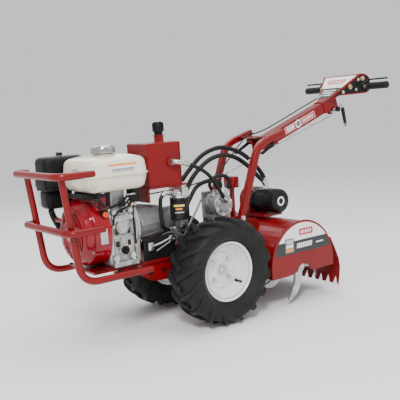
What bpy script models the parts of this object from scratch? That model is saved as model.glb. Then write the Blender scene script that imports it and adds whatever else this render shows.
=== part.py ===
"""A rear-tine tiller driven by hydraulics, in metres, +Z up.

The machine stands level on its wheels and tines at Z = 0. Its engine faces -Y, its handlebar is at +Y
and +X is its left side. Dimensions are worked out from the wheel axle, and one empty then shifts the
whole machine so that its origin lies under the middle of its length.
"""

import math

import bmesh
import bpy
from mathutils import Matrix, Vector

# Clearances
GAP = 0.0004
RUNNING = 0.0015

# Wheels and axle
AXLE_Z = 0.21
TYRE_RADIUS = 0.21
TYRE_WIDTH = 0.165
TRACK_HALF = 0.194
RIM_RADIUS = 0.117
RIM_WIDTH = 0.112
RIM_WALL = 0.004
DISC_INSET = 0.004
AXLE_RADIUS = 0.0125
HUB_RADIUS = 0.024

# Chain drive from the wheel motor to the axle.
DRIVE_Y = 0.122
DRIVE_Z = 0.440
CHAIN_PITCH = 0.0127
MOTOR_TEETH = 12
AXLE_TEETH = 28
SPROCKET_RIGHT_X = -0.034
SPROCKET_LEFT_X = -0.028

# Chassis
CHASSIS_HALF = 0.098
CHASSIS_PLATE = 0.006
CHASSIS_FRONT_Y = -0.300
CHASSIS_REAR_Y = 0.216
CHASSIS_TOP_Z = 0.2745
CHASSIS_BELLY_Z = 0.150
DECK_PLATE = 0.008
DECK_FRONT_Y = -0.500
DECK_HALF = 0.110

# Brush guard
GUARD_TUBE = 0.013
GUARD_HALF = 0.143
GUARD_UPRIGHT_Y = -0.590
GUARD_LEAN = 0.045
GUARD_TOP_Z = 0.640
GUARD_FOOT_Z = 0.262
RAIL_HALF = 0.167
RAIL_UPPER_Z = 0.640
RAIL_LOWER_Z = 0.447
RAIL_LENGTH = 0.132
RAIL_SHORT_LENGTH = 0.050
RAIL_STANDOFF = 2 * GUARD_TUBE + 0.0025
RAIL_BEND = 0.045

# Engine
CRANK_Z = 0.414
ENGINE_BASE_Z = 0.284
ENGINE_FRONT_Y = -0.531
FAN_RADIUS = 0.122
FAN_COVER_REAR_Y = -0.425
BLOCK_REAR_Y = -0.285
BLOCK_HALF = 0.115
CRANK_RADIUS = 0.0127
FLYWHEEL_RADIUS = 0.095
TANK_LEFT_X = 0.135
TANK_RIGHT_X = -0.106
TANK_FRONT_Y = -0.500
TANK_REAR_Y = -0.250
TANK_BASE_Z = 0.560
TANK_TOP_Z = 0.692
TANK_SEAM_Z = 0.620
CLEANER_LEFT_X = -0.114
CLEANER_RIGHT_X = -0.234
CLEANER_FRONT_Y = -0.552
CLEANER_REAR_Y = -0.372
CLEANER_BASE_Z = 0.578
CLEANER_TOP_Z = 0.692

# Hydraulics
RESERVOIR_HALF = 0.070
RESERVOIR_FRONT_Y = -0.219
RESERVOIR_REAR_Y = -0.069
RESERVOIR_BASE_Z = 0.548
RESERVOIR_TOP_Z = 0.717
FILLER_RADIUS = 0.019
FILTER_RADIUS = 0.038
FILTER_X = 0.095
FILTER_Y = -0.105
FILTER_TOP_Z = 0.502
FILTER_BASE_Z = 0.414
HOSE_RADIUS = 0.0095
SMALL_HOSE_RADIUS = 0.0075

# Tine head
TINE_Y = 0.398
TINE_Z = 0.160
TINE_REACH = TINE_Z - 0.0003
TINE_TIP_LAG = 0.55
TINE_THICKNESS = 0.008
HOOD_RADIUS = 0.182
HOOD_Z = 0.170
HOOD_SHEET = 0.003
HOOD_HALF = 0.257
HOOD_SIDE_PLATE = 0.004
HOOD_HEM_Z = 0.130
TINE_SHAFT_RADIUS = 0.016
CASE_LEFT_X = -0.020
CASE_RIGHT_X = -0.085
MOTOR_Y = 0.412
MOTOR_Z = 0.4205
MOTOR_RADIUS = 0.053
MOTOR_LEFT_X = 0.122

# Handle
UPRIGHT_X = 0.105
UPRIGHT_SIZE = 0.027
UPRIGHT_FOOT = (0.1787, 0.330)
UPRIGHT_BEND = (0.310, 0.672)
ARM_END = (0.460, 0.716)
BOOM_SIZE = 0.050
BOOM_START = (0.430, 0.669)
BOOM_END = (0.815, 0.805)
BAR_Y = 1.000
BAR_Z = 0.895
BAR_HALF = 0.249
BAR_RADIUS = 0.011
GRIP_RADIUS = 0.0165
GRIP_LENGTH = 0.109
CONSOLE_TOP_HALF = 0.112
CONSOLE_FOOT_HALF = 0.026
CONSOLE_SHEET = 0.003
CONSOLE_OVERHANG = 0.022

# The machine's length along Y, from the guard's front to the grips' back
FRONT_MOST_Y = GUARD_UPRIGHT_Y - GUARD_LEAN / 2 - RAIL_STANDOFF - GUARD_TUBE
REAR_MOST_Y = BAR_Y + CONSOLE_OVERHANG
MIDDLE_Y = (FRONT_MOST_Y + REAR_MOST_Y) / 2

X_AXIS = Vector((1, 0, 0))
Y_AXIS = Vector((0, 1, 0))
Z_AXIS = Vector((0, 0, 1))


def clear_scene():
    """Removes what the startup file holds."""
    for old in list(bpy.data.objects):
        bpy.data.objects.remove(old)


def material(name, color, roughness, metallic=0.0):
    """A Principled material with one colour."""
    made = bpy.data.materials.get(name) or bpy.data.materials.new(name)
    made.use_nodes = True
    shader = made.node_tree.nodes["Principled BSDF"]
    shader.inputs["Base Color"].default_value = (*color, 1.0)
    shader.inputs["Roughness"].default_value = roughness
    shader.inputs["Metallic"].default_value = metallic
    return made


def red_paint():
    return material("red_paint", (0.42, 0.03, 0.03), 0.35)


def fan_red():
    return material("fan_red", (0.55, 0.01, 0.03), 0.35)


def ivory_paint():
    return material("ivory_paint", (0.78, 0.75, 0.62), 0.3)


def cast_aluminium():
    return material("cast_aluminium", (0.55, 0.55, 0.53), 0.45, 0.8)


def bright_steel():
    return material("bright_steel", (0.62, 0.62, 0.6), 0.3, 1.0)


def black_paint():
    return material("black_paint", (0.02, 0.02, 0.02), 0.35)


def black_plastic():
    return material("black_plastic", (0.025, 0.025, 0.027), 0.5)


def black_rubber():
    return material("black_rubber", (0.022, 0.022, 0.022), 0.8)


def white_paint():
    return material("white_paint", (0.8, 0.8, 0.79), 0.35)


def new_object(name, mesh_data, finish, smooth_angle=35.0):
    """Links one mesh as an object with its material and smooth shading."""
    obj = bpy.data.objects.new(name, mesh_data)
    bpy.context.scene.collection.objects.link(obj)
    obj.data.materials.append(finish)
    obj.data.shade_smooth()
    obj.data.set_sharp_from_angle(angle=math.radians(smooth_angle))
    return obj


def from_bmesh(name, bm, finish):
    bmesh.ops.remove_doubles(bm, verts=bm.verts, dist=1e-6)
    bmesh.ops.recalc_face_normals(bm, faces=bm.faces)
    data = bpy.data.meshes.new(name)
    bm.to_mesh(data)
    bm.free()
    return new_object(name, data, finish)


def box(name, low, high, finish, round_off=0.0, segments=2):
    """A box between two corners, its edges rounded by round_off."""
    bm = bmesh.new()
    bmesh.ops.create_cube(bm, size=1.0)
    size = Vector(high) - Vector(low)
    middle = (Vector(high) + Vector(low)) / 2
    bmesh.ops.transform(bm, matrix=Matrix.Translation(middle) @ Matrix.Diagonal((*size, 1.0)), verts=bm.verts)
    if round_off:
        bmesh.ops.bevel(
            bm, geom=bm.edges[:], offset=round_off, offset_type="OFFSET", segments=segments,
            profile=0.5, affect="EDGES", clamp_overlap=True,
        )
    return from_bmesh(name, bm, finish)


def frame_of(axis):
    """Two unit vectors that span the plane a shape is drawn in, for extrusion along axis.

    Along X the drawing is (Y, Z), along Y it is (X, Z) and along Z it is (X, Y).
    """
    return {
        "X": (Y_AXIS, Z_AXIS, X_AXIS),
        "Y": (X_AXIS, Z_AXIS, Y_AXIS),
        "Z": (X_AXIS, Y_AXIS, Z_AXIS),
    }[axis]


def prism(name, outline, axis, low, high, finish):
    """A closed outline, drawn across the axis, extruded from low to high along it."""
    across, up, along = frame_of(axis)
    bm = bmesh.new()
    rings = [[bm.verts.new(across * a + up * b + along * c) for a, b in outline] for c in (low, high)]
    bm.faces.new(rings[0])
    bm.faces.new(rings[1])
    count = len(outline)
    for i in range(count):
        j = (i + 1) % count
        bm.faces.new((rings[0][i], rings[0][j], rings[1][j], rings[1][i]))
    return from_bmesh(name, bm, finish)


def lathe(name, profile, axis, centre, finish, steps=32):
    """A solid turned about an axis: profile is a closed list of (along, radius), radius 0 on the axis."""
    across, up, along = frame_of(axis)
    centre = Vector(centre)
    bm = bmesh.new()
    rings = []
    for c, radius in profile:
        if radius < 1e-7:
            rings.append([bm.verts.new(centre + along * c)])
            continue
        turns = [2 * math.pi * i / steps for i in range(steps)]
        rings.append(
            [bm.verts.new(centre + along * c + (across * math.cos(t) + up * math.sin(t)) * radius) for t in turns]
        )
    count = len(rings)
    closed_tube = all(len(ring) > 1 for ring in rings)
    for i in range(count if closed_tube else count - 1):
        first, second = rings[i], rings[(i + 1) % count]
        for k in range(steps):
            m = (k + 1) % steps
            corners = [first[k % len(first)], first[m % len(first)], second[m % len(second)], second[k % len(second)]]
            unique = list(dict.fromkeys(corners))
            if len(unique) > 2:
                bm.faces.new(unique)
    return from_bmesh(name, bm, finish)


def cylinder(name, axis, centre, low, high, radius, finish, steps=32, chamfer=0.0):
    """A round bar about an axis through centre, from low to high along it, its rims chamfered."""
    edge = max(chamfer, 0.0)
    profile = [(low, 0.0), (low, radius - edge)]
    if edge:
        profile.append((low + edge, radius))
        profile.append((high - edge, radius))
    profile += [(high, radius - edge), (high, 0.0)]
    return lathe(name, profile, axis, centre, finish, steps)


def smooth_route(points, per_span=6):
    """Points along a Catmull-Rom curve through the given points."""
    ends = [points[0] * 2 - points[1], *points, points[-1] * 2 - points[-2]]
    route = []
    for i in range(1, len(ends) - 2):
        before, here, after, later = ends[i - 1:i + 3]
        for k in range(per_span):
            t = k / per_span
            route.append(
                0.5 * (2 * here + (after - before) * t + (2 * before - 5 * here + 4 * after - later) * t * t
                       + (3 * here - before - 3 * after + later) * t ** 3)
            )
    route.append(points[-1])
    return route


def rounded_route(points, radius, steps=5):
    """A route of straight runs through points, with an arc of the given radius at each corner."""
    route = [points[0]]
    for before, here, after in zip(points, points[1:], points[2:]):
        back = (before - here).normalized()
        ahead = (after - here).normalized()
        half = back.angle(ahead) / 2
        reach = radius / math.tan(half)
        centre = here + (back + ahead).normalized() * (radius / math.sin(half))
        start = here + back * reach - centre
        turn = math.pi - 2 * half
        normal = back.cross(ahead).normalized()
        for k in range(steps + 1):
            route.append(centre + Matrix.Rotation(-turn * k / steps, 3, normal) @ start)
    route.append(points[-1])
    return route


def round_tube(name, route, radius, finish, resolution=2):
    """A solid round bar along a route, as a curve with a bevel and filled caps."""
    data = bpy.data.curves.new(name, "CURVE")
    data.dimensions = "3D"
    data.bevel_depth = radius
    data.bevel_resolution = resolution
    data.use_fill_caps = True
    data.render_resolution_u = 0
    spline = data.splines.new("POLY")
    spline.points.add(len(route) - 1)
    for spot, place in zip(spline.points, route):
        spot.co = (*place, 1.0)
    data.materials.append(finish)
    obj = bpy.data.objects.new(name, data)
    bpy.context.scene.collection.objects.link(obj)
    return obj


def bar_mesh(name, route, radius, finish, sides=10):
    """A round bar along a route as a mesh, so that a Boolean can take it."""
    bm = bmesh.new()
    rings = []
    side = Vector((0.31, 0.2, 0.93))
    for i, place in enumerate(route):
        ahead = (route[min(i + 1, len(route) - 1)] - place).normalized() if i < len(route) - 1 else None
        behind = (place - route[i - 1]).normalized() if i else None
        along = ((ahead or behind) + (behind or ahead)).normalized()
        stretch = 1.0 / max(0.5, along.dot(ahead or behind))
        side = (side - along * side.dot(along)).normalized()
        other = along.cross(side)
        bend = (ahead - behind) if ahead and behind else Vector((0, 0, 0))
        bend = bend.normalized() if bend.length > 1e-6 else Vector((0, 0, 0))
        ring = []
        for k in range(sides):
            t = 2 * math.pi * k / sides
            spoke = (side * math.cos(t) + other * math.sin(t)) * radius
            spoke += bend * spoke.dot(bend) * (stretch - 1.0)
            ring.append(bm.verts.new(place + spoke))
        rings.append(ring)
    bm.faces.new(rings[0])
    bm.faces.new(rings[-1])
    for first, second in zip(rings, rings[1:]):
        for k in range(sides):
            m = (k + 1) % sides
            bm.faces.new((first[k], first[m], second[m], second[k]))
    return from_bmesh(name, bm, finish)


def square_bar(name, route, width, height, finish):
    """A rectangular bar along a route in the YZ plane at one X: width along X, height across the route."""
    bm = bmesh.new()
    rings = []
    for i, place in enumerate(route):
        ahead = (route[i + 1] - place).normalized() if i < len(route) - 1 else None
        behind = (place - route[i - 1]).normalized() if i else None
        along = ((ahead or behind) + (behind or ahead)).normalized()
        stretch = 1.0 / along.dot(ahead or behind)
        up = X_AXIS.cross(along).normalized() * (-height / 2 * stretch)
        out = X_AXIS * (width / 2)
        rings.append([bm.verts.new(place + s * out + t * up) for s, t in ((1, 1), (-1, 1), (-1, -1), (1, -1))])
    bm.faces.new(rings[0])
    bm.faces.new(rings[-1])
    for first, second in zip(rings, rings[1:]):
        for k in range(4):
            m = (k + 1) % 4
            bm.faces.new((first[k], first[m], second[m], second[k]))
    return from_bmesh(name, bm, finish)


def hide(helper):
    """Marks an object that only shapes another one."""
    helper.hide_render = True
    helper.display_type = "WIRE"
    return helper


def combine(obj, others, operation, solver):
    """Adds the Boolean of each other object, which becomes a hidden helper."""
    for other in others:
        step = obj.modifiers.new(other.name, "BOOLEAN")
        step.operation = operation
        step.solver = solver
        step.object = hide(other)
    return obj


def weld_to(obj, *others, solver="EXACT"):
    return combine(obj, others, "UNION", solver)


def cut_from(obj, *others, solver="EXACT"):
    return combine(obj, others, "DIFFERENCE", solver)


def put_origin(obj, place):
    """Moves an object's origin to a point on its joint's axis, leaving its shape where it is."""
    place = Vector(place)
    obj.data.transform(Matrix.Translation(-place))
    obj.location = place
    return obj


def arc(centre, radius, start_deg, end_deg, steps):
    """Points on an arc, from start to end inclusive."""
    angles = [math.radians(start_deg + (end_deg - start_deg) * i / steps) for i in range(steps + 1)]
    return [(centre[0] + radius * math.cos(a), centre[1] + radius * math.sin(a)) for a in angles]


def chassis_outline():
    """The side plate in (Y, Z): deep round belly under the axle, a square neck at the rear."""
    belly = arc((0.0, AXLE_Z), AXLE_Z - CHASSIS_BELLY_Z, 200, 340, 8)
    return [
        (CHASSIS_FRONT_Y, CHASSIS_TOP_Z),
        (CHASSIS_FRONT_Y, CHASSIS_TOP_Z - 0.045),
        (CHASSIS_FRONT_Y + 0.05, CHASSIS_TOP_Z - 0.075),
        *belly,
        (CHASSIS_REAR_Y - 0.05, CHASSIS_TOP_Z - 0.05),
        (CHASSIS_REAR_Y - 0.05, CHASSIS_TOP_Z),
    ]


def build_chassis():
    """The welded box that carries the axle, its rear bulkhead, and the engine deck on top."""
    steel = red_paint()
    inner = CHASSIS_HALF - CHASSIS_PLATE
    left = prism("chassis", chassis_outline(), "X", inner, CHASSIS_HALF, steel)
    right = prism("chassis_right_plate", chassis_outline(), "X", -CHASSIS_HALF, -inner, steel)
    bulkhead_y = CHASSIS_REAR_Y - 0.07
    bulkhead = box(
        "chassis_bulkhead", (-CHASSIS_HALF, bulkhead_y, CHASSIS_TOP_Z - 0.04),
        (CHASSIS_HALF, bulkhead_y + CHASSIS_PLATE, CHASSIS_TOP_Z), steel,
    )
    wall_half = UPRIGHT_X - UPRIGHT_SIZE / 2 - GAP
    wall = box(
        "chassis_wall", (-wall_half, bulkhead_y, CHASSIS_TOP_Z - 0.01),
        (wall_half, bulkhead_y + CHASSIS_PLATE, CHASSIS_TOP_Z + 0.11), steel,
    )
    nose = box(
        "chassis_nose", (-CHASSIS_HALF, CHASSIS_FRONT_Y, CHASSIS_TOP_Z - 0.04),
        (CHASSIS_HALF, CHASSIS_FRONT_Y + CHASSIS_PLATE, CHASSIS_TOP_Z), steel,
    )
    brackets = [
        box(
            f"handle_bracket_{n}", (low, bulkhead_y, CHASSIS_TOP_Z - 0.012),
            (low + 0.006, bulkhead_y + 0.050, CHASSIS_TOP_Z + 0.11), steel,
        )
        for n, low in enumerate((-wall_half, wall_half - 0.006))
    ]
    reach = CHASSIS_HALF - CHASSIS_PLATE / 2
    neck = box(
        "chassis_neck", (-reach, bulkhead_y + CHASSIS_PLATE / 2, CHASSIS_TOP_Z - 0.035),
        (reach, TINE_Y - HOOD_RADIUS + 0.004, CHASSIS_TOP_Z - 0.02), steel,
    )
    collars = [
        cylinder(f"axle_collar_{n}", "X", (0, 0, AXLE_Z), low, low + 0.016, 0.026, steel, 16)
        for n, low in enumerate((-inner - 0.001, inner - 0.015))
    ]
    weld_to(left, right, bulkhead, wall, nose, neck, *brackets, *collars)
    bore = cylinder("axle_bore", "X", (0, 0, AXLE_Z), -0.2, 0.2, AXLE_RADIUS + GAP, steel, 16)
    cut_from(left, bore)

    deck = box(
        "engine_deck", (-DECK_HALF, DECK_FRONT_Y, CHASSIS_TOP_Z + GAP),
        (DECK_HALF, BLOCK_REAR_Y + 0.11, CHASSIS_TOP_Z + GAP + DECK_PLATE), steel,
    )
    return left, deck


def build_guard():
    """Two bent tubes rise in front of the engine, and two U-shaped rails join them."""
    steel = red_paint()
    for side, name in ((1, "guard_tube_left"), (-1, "guard_tube_right")):
        x = side * GUARD_HALF
        lean = GUARD_LEAN / 2
        route = rounded_route(
            [
                Vector((x, GUARD_UPRIGHT_Y - lean, GUARD_TOP_Z)),
                Vector((x, GUARD_UPRIGHT_Y + lean, GUARD_FOOT_Z)),
                Vector((x, CHASSIS_FRONT_Y + 0.02, CHASSIS_TOP_Z - GUARD_TUBE)),
            ],
            0.07,
        )
        tube = bar_mesh(name, route, GUARD_TUBE, steel, 14)
        tab_x = side * (DECK_HALF - 0.01)
        tab = box(
            f"{name}_tab",
            (min(x, tab_x), CHASSIS_FRONT_Y - 0.12, CHASSIS_TOP_Z - 0.011),
            (max(x, tab_x), CHASSIS_FRONT_Y - 0.02, CHASSIS_TOP_Z - 0.003),
            steel,
        )
        weld_to(tube, tab)

    slope = GUARD_LEAN / (GUARD_TOP_Z - GUARD_FOOT_Z)
    for name, z in (("guard_rail_upper", RAIL_UPPER_Z), ("guard_rail_lower", RAIL_LOWER_Z)):
        upright_y = GUARD_UPRIGHT_Y - GUARD_LEAN / 2 + slope * (GUARD_TOP_Z - z)
        y = upright_y - RAIL_STANDOFF
        route = rounded_route(
            [
                Vector((-RAIL_HALF - GUARD_TUBE, y + RAIL_SHORT_LENGTH, z)),
                Vector((-RAIL_HALF - GUARD_TUBE, y, z)),
                Vector((RAIL_HALF + GUARD_TUBE, y, z)),
                Vector((RAIL_HALF + GUARD_TUBE, y + RAIL_LENGTH, z)),
            ],
            RAIL_BEND,
        )
        bar_mesh(name, route, GUARD_TUBE, steel, 12)


def build_engine_block():
    """The crankcase with its feet, the slanting cylinder head and the cover on the shaft side."""
    metal = cast_aluminium()
    front = FAN_COVER_REAR_Y + GAP
    cover_front = BLOCK_REAR_Y - 0.030
    block = box(
        "engine_block", (-BLOCK_HALF + 0.01, front, ENGINE_BASE_Z),
        (BLOCK_HALF - 0.01, cover_front - GAP, TANK_BASE_Z - 0.055), metal, 0.012,
    )
    foot = box(
        "engine_foot", (-BLOCK_HALF - 0.005, front + 0.004, ENGINE_BASE_Z),
        (BLOCK_HALF + 0.005, cover_front - GAP, ENGINE_BASE_Z + 0.022), metal, 0.004,
    )
    post = box(
        "tank_post", (0.030, front + 0.03, TANK_BASE_Z - 0.08),
        (0.075, front + 0.09, TANK_BASE_Z - GAP), metal, 0.004,
    )
    weld_to(block, foot, post)
    tunnel = cylinder("crank_tunnel", "Y", (0, 0, CRANK_Z), -0.6, -0.1, CRANK_RADIUS + RUNNING, metal, 24)
    cut_from(block, tunnel)

    head = box(
        "cylinder_head", (-BLOCK_HALF - 0.075, front + 0.026, CRANK_Z - 0.005),
        (-BLOCK_HALF + 0.01 - GAP, cover_front - 0.01, CRANK_Z + 0.115), metal, 0.01,
    )
    cover = cylinder(
        "crankcase_cover", "Y", (0, 0, CRANK_Z), cover_front, BLOCK_REAR_Y, 0.105, metal, 24, 0.008,
    )
    sump = box(
        "cover_sump", (-0.095, cover_front, ENGINE_BASE_Z + 0.001),
        (0.095, BLOCK_REAR_Y - 0.006, CRANK_Z), metal, 0.006,
    )
    weld_to(cover, sump)
    cut_from(cover, cylinder("cover_tunnel", "Y", (0, 0, CRANK_Z), -0.6, -0.1, CRANK_RADIUS + RUNNING, metal, 24))
    return block, head, cover


def build_engine_front():
    """Fan cover, recoil starter, fan, crankshaft, starter grip and switch."""
    red = fan_red()
    metal = cast_aluminium()
    centre = (0, 0, CRANK_Z)
    wall = 0.003
    recoil_rear = ENGINE_FRONT_Y + 0.040
    cover = lathe(
        "fan_cover",
        [
            (recoil_rear + GAP, FAN_RADIUS - 0.022),
            (recoil_rear + GAP, FAN_RADIUS - 0.008),
            (recoil_rear + 0.010, FAN_RADIUS),
            (FAN_COVER_REAR_Y, FAN_RADIUS + 0.004),
            (FAN_COVER_REAR_Y, FAN_RADIUS + 0.004 - wall),
            (recoil_rear + 0.012, FAN_RADIUS - wall),
        ],
        "Y", centre, red, 28,
    )
    hump = box(
        "cover_hump", (-0.085, recoil_rear + 0.02, CRANK_Z + 0.085),
        (0.105, FAN_COVER_REAR_Y, TANK_BASE_Z - 0.012), red, 0.01,
    )
    weld_to(cover, hump)
    hollow = cylinder(
        "cover_hollow", "Y", centre, recoil_rear + 0.012, FAN_COVER_REAR_Y + 0.05, FAN_RADIUS - wall, red, 28,
    )
    cut_from(cover, hollow)

    recoil = lathe(
        "recoil_housing",
        [
            (ENGINE_FRONT_Y, 0.0),
            (ENGINE_FRONT_Y, 0.050),
            (ENGINE_FRONT_Y + 0.010, FAN_RADIUS - 0.022),
            (recoil_rear - 0.006, FAN_RADIUS - 0.010),
            (recoil_rear, FAN_RADIUS - 0.004),
            (recoil_rear, FAN_RADIUS - 0.013),
            (ENGINE_FRONT_Y + 0.014, FAN_RADIUS - 0.026),
            (ENGINE_FRONT_Y + 0.004, 0.048),
            (ENGINE_FRONT_Y + 0.004, 0.0),
        ],
        "Y", centre, red, 24,
    )
    slots = []
    for group in (0, 1, 3, 4):
        for step in range(4):
            angle = math.radians(38 + 60 * group + 9 * step)
            slot = box(f"recoil_slot_{group}_{step}", (0.055, ENGINE_FRONT_Y - 0.02, -0.0028),
                       (0.090, recoil_rear - 0.014, 0.0028), red)
            slot.data.transform(Matrix.Translation(Vector(centre)) @ Matrix.Rotation(angle, 4, "Y"))
            slots.append(slot)
    rope_guide = cylinder(
        "rope_guide", "X", (0, ENGINE_FRONT_Y + 0.026, CRANK_Z + 0.037), -0.150, -0.080, 0.008, red, 16,
    )
    weld_to(recoil, rope_guide, solver="MANIFOLD")
    rope_hole = cylinder(
        "rope_hole", "X", (0, ENGINE_FRONT_Y + 0.026, CRANK_Z + 0.037), -0.2, -0.05, 0.0045, red, 16,
    )
    cut_from(recoil, rope_hole, *slots, solver="MANIFOLD")

    grip_y = ENGINE_FRONT_Y + 0.026
    grip_z = CRANK_Z + 0.037
    grip = lathe(
        "starter_grip",
        [(-0.151, 0.0), (-0.151, 0.008), (-0.156, 0.017), (-0.166, 0.018), (-0.176, 0.010), (-0.180, 0.0)],
        "X", (0, grip_y, grip_z), black_rubber(), 18,
    )
    bar = box("starter_bar", (-0.168, grip_y - 0.009, grip_z - 0.034), (-0.153, grip_y + 0.009, grip_z + 0.034),
              black_rubber(), 0.006)
    rope = cylinder("starter_rope", "X", (0, grip_y, grip_z), -0.155, -0.070, 0.0025, black_rubber(), 10)
    weld_to(grip, bar, rope)
    for piece in (grip, bar, rope):
        put_origin(piece, (-0.16, grip_y, grip_z))

    fan_front = recoil_rear + 0.014
    fan = lathe(
        "flywheel_fan",
        [
            (fan_front + 0.028, CRANK_RADIUS + GAP),
            (fan_front + 0.010, CRANK_RADIUS + GAP),
            (fan_front + 0.010, 0.050),
            (fan_front + 0.020, FLYWHEEL_RADIUS),
            (fan_front + 0.040, FLYWHEEL_RADIUS),
            (fan_front + 0.040, 0.050),
            (fan_front + 0.028, 0.050),
        ],
        "Y", centre, metal, 20,
    )
    blades = []
    for i in range(8):
        blade = box(f"fan_blade_{i}", (0.055, fan_front, -0.0015), (0.090, fan_front + 0.022, 0.0015), metal)
        blade.data.transform(
            Matrix.Translation(Vector(centre)) @ Matrix.Rotation(math.radians(45 * i), 4, "Y")
        )
        blades.append(put_origin(blade, centre))
    put_origin(fan, centre)
    weld_to(fan, *blades)
    put_origin(
        cylinder("crankshaft", "Y", centre, fan_front, -0.165, CRANK_RADIUS, bright_steel(), 24, 0.001), centre,
    )

    switch_y = ENGINE_FRONT_Y + 0.090
    switch_z = CRANK_Z + 0.070
    switch_x = math.sqrt((FAN_RADIUS + 0.004) ** 2 - 0.059 ** 2) + 0.001
    put_origin(
        box("engine_switch", (switch_x, switch_y - 0.011, switch_z - 0.011),
            (switch_x + 0.016, switch_y + 0.011, switch_z + 0.011), fan_red(), 0.005, 2),
        (switch_x, switch_y, switch_z),
    )


def build_engine_top():
    """Fuel tank and cap, air cleaner with its intake, knob, and the muffler."""
    ivory = ivory_paint()
    low = (TANK_RIGHT_X, TANK_FRONT_Y, TANK_BASE_Z)
    high = (TANK_LEFT_X, TANK_REAR_Y, TANK_TOP_Z)
    tank = box("fuel_tank", low, high, ivory, 0.026, 3)
    flange = prism(
        "tank_seam_flange",
        [
            (x, y)
            for corner, start in (
                ((high[0] - 0.028, high[1] - 0.028), 0), ((low[0] + 0.028, high[1] - 0.028), 90),
                ((low[0] + 0.028, low[1] + 0.028), 180), ((high[0] - 0.028, low[1] + 0.028), 270),
            )
            for x, y in arc(corner, 0.032, start, start + 90, 5)
        ],
        "Z", TANK_SEAM_Z - 0.002, TANK_SEAM_Z + 0.002, ivory,
    )
    neck_place = ((low[0] + high[0]) / 2, (low[1] + high[1]) / 2, 0.0)
    neck = cylinder("tank_neck", "Z", neck_place, TANK_TOP_Z - 0.01, TANK_TOP_Z + 0.004, 0.030, ivory, 28)
    weld_to(tank, flange, neck)
    put_origin(
        cylinder("fuel_cap", "Z", neck_place, TANK_TOP_Z + 0.004 + GAP, TANK_TOP_Z + 0.034, 0.044,
                 bright_steel(), 24, 0.004),
        (neck_place[0], neck_place[1], TANK_TOP_Z),
    )

    plastic = black_plastic()
    box("air_cleaner_cover", (CLEANER_RIGHT_X, CLEANER_FRONT_Y, CLEANER_BASE_Z),
        (CLEANER_LEFT_X, CLEANER_REAR_Y, CLEANER_TOP_Z), plastic, 0.016, 3)
    middle_x = (CLEANER_LEFT_X + CLEANER_RIGHT_X) / 2
    intake = box(
        "intake_body", (CLEANER_RIGHT_X + 0.012, CLEANER_FRONT_Y + 0.012, CLEANER_BASE_Z - 0.088),
        (CLEANER_LEFT_X - 0.028, CLEANER_REAR_Y - 0.055, CLEANER_BASE_Z - GAP), plastic, 0.012,
    )
    shelf = box(
        "intake_shelf", (CLEANER_RIGHT_X + 0.004, CLEANER_FRONT_Y + 0.004, CLEANER_BASE_Z - 0.014),
        (CLEANER_LEFT_X - 0.004, CLEANER_REAR_Y - 0.004, CLEANER_BASE_Z - GAP), plastic, 0.004,
    )
    weld_to(intake, shelf)
    knob = cylinder(
        "air_cleaner_knob", "Z", (middle_x, (CLEANER_FRONT_Y + CLEANER_REAR_Y) / 2, 0),
        CLEANER_TOP_Z + GAP, CLEANER_TOP_Z + 0.010, 0.012, plastic, 20, 0.002,
    )
    wing = box(
        "knob_wing", (middle_x - 0.024, (CLEANER_FRONT_Y + CLEANER_REAR_Y) / 2 - 0.004, CLEANER_TOP_Z + 0.004),
        (middle_x + 0.024, (CLEANER_FRONT_Y + CLEANER_REAR_Y) / 2 + 0.004, CLEANER_TOP_Z + 0.013), plastic, 0.002,
    )
    weld_to(knob, wing)
    for piece in (knob, wing):
        put_origin(piece, (middle_x, (CLEANER_FRONT_Y + CLEANER_REAR_Y) / 2, CLEANER_TOP_Z))

    box("muffler", (CLEANER_RIGHT_X + 0.005, CLEANER_REAR_Y + 0.012, CLEANER_BASE_Z - 0.035),
        (TANK_RIGHT_X - 0.012, TANK_REAR_Y - 0.004, CLEANER_TOP_Z - 0.012), black_paint(), 0.02, 3)


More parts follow.
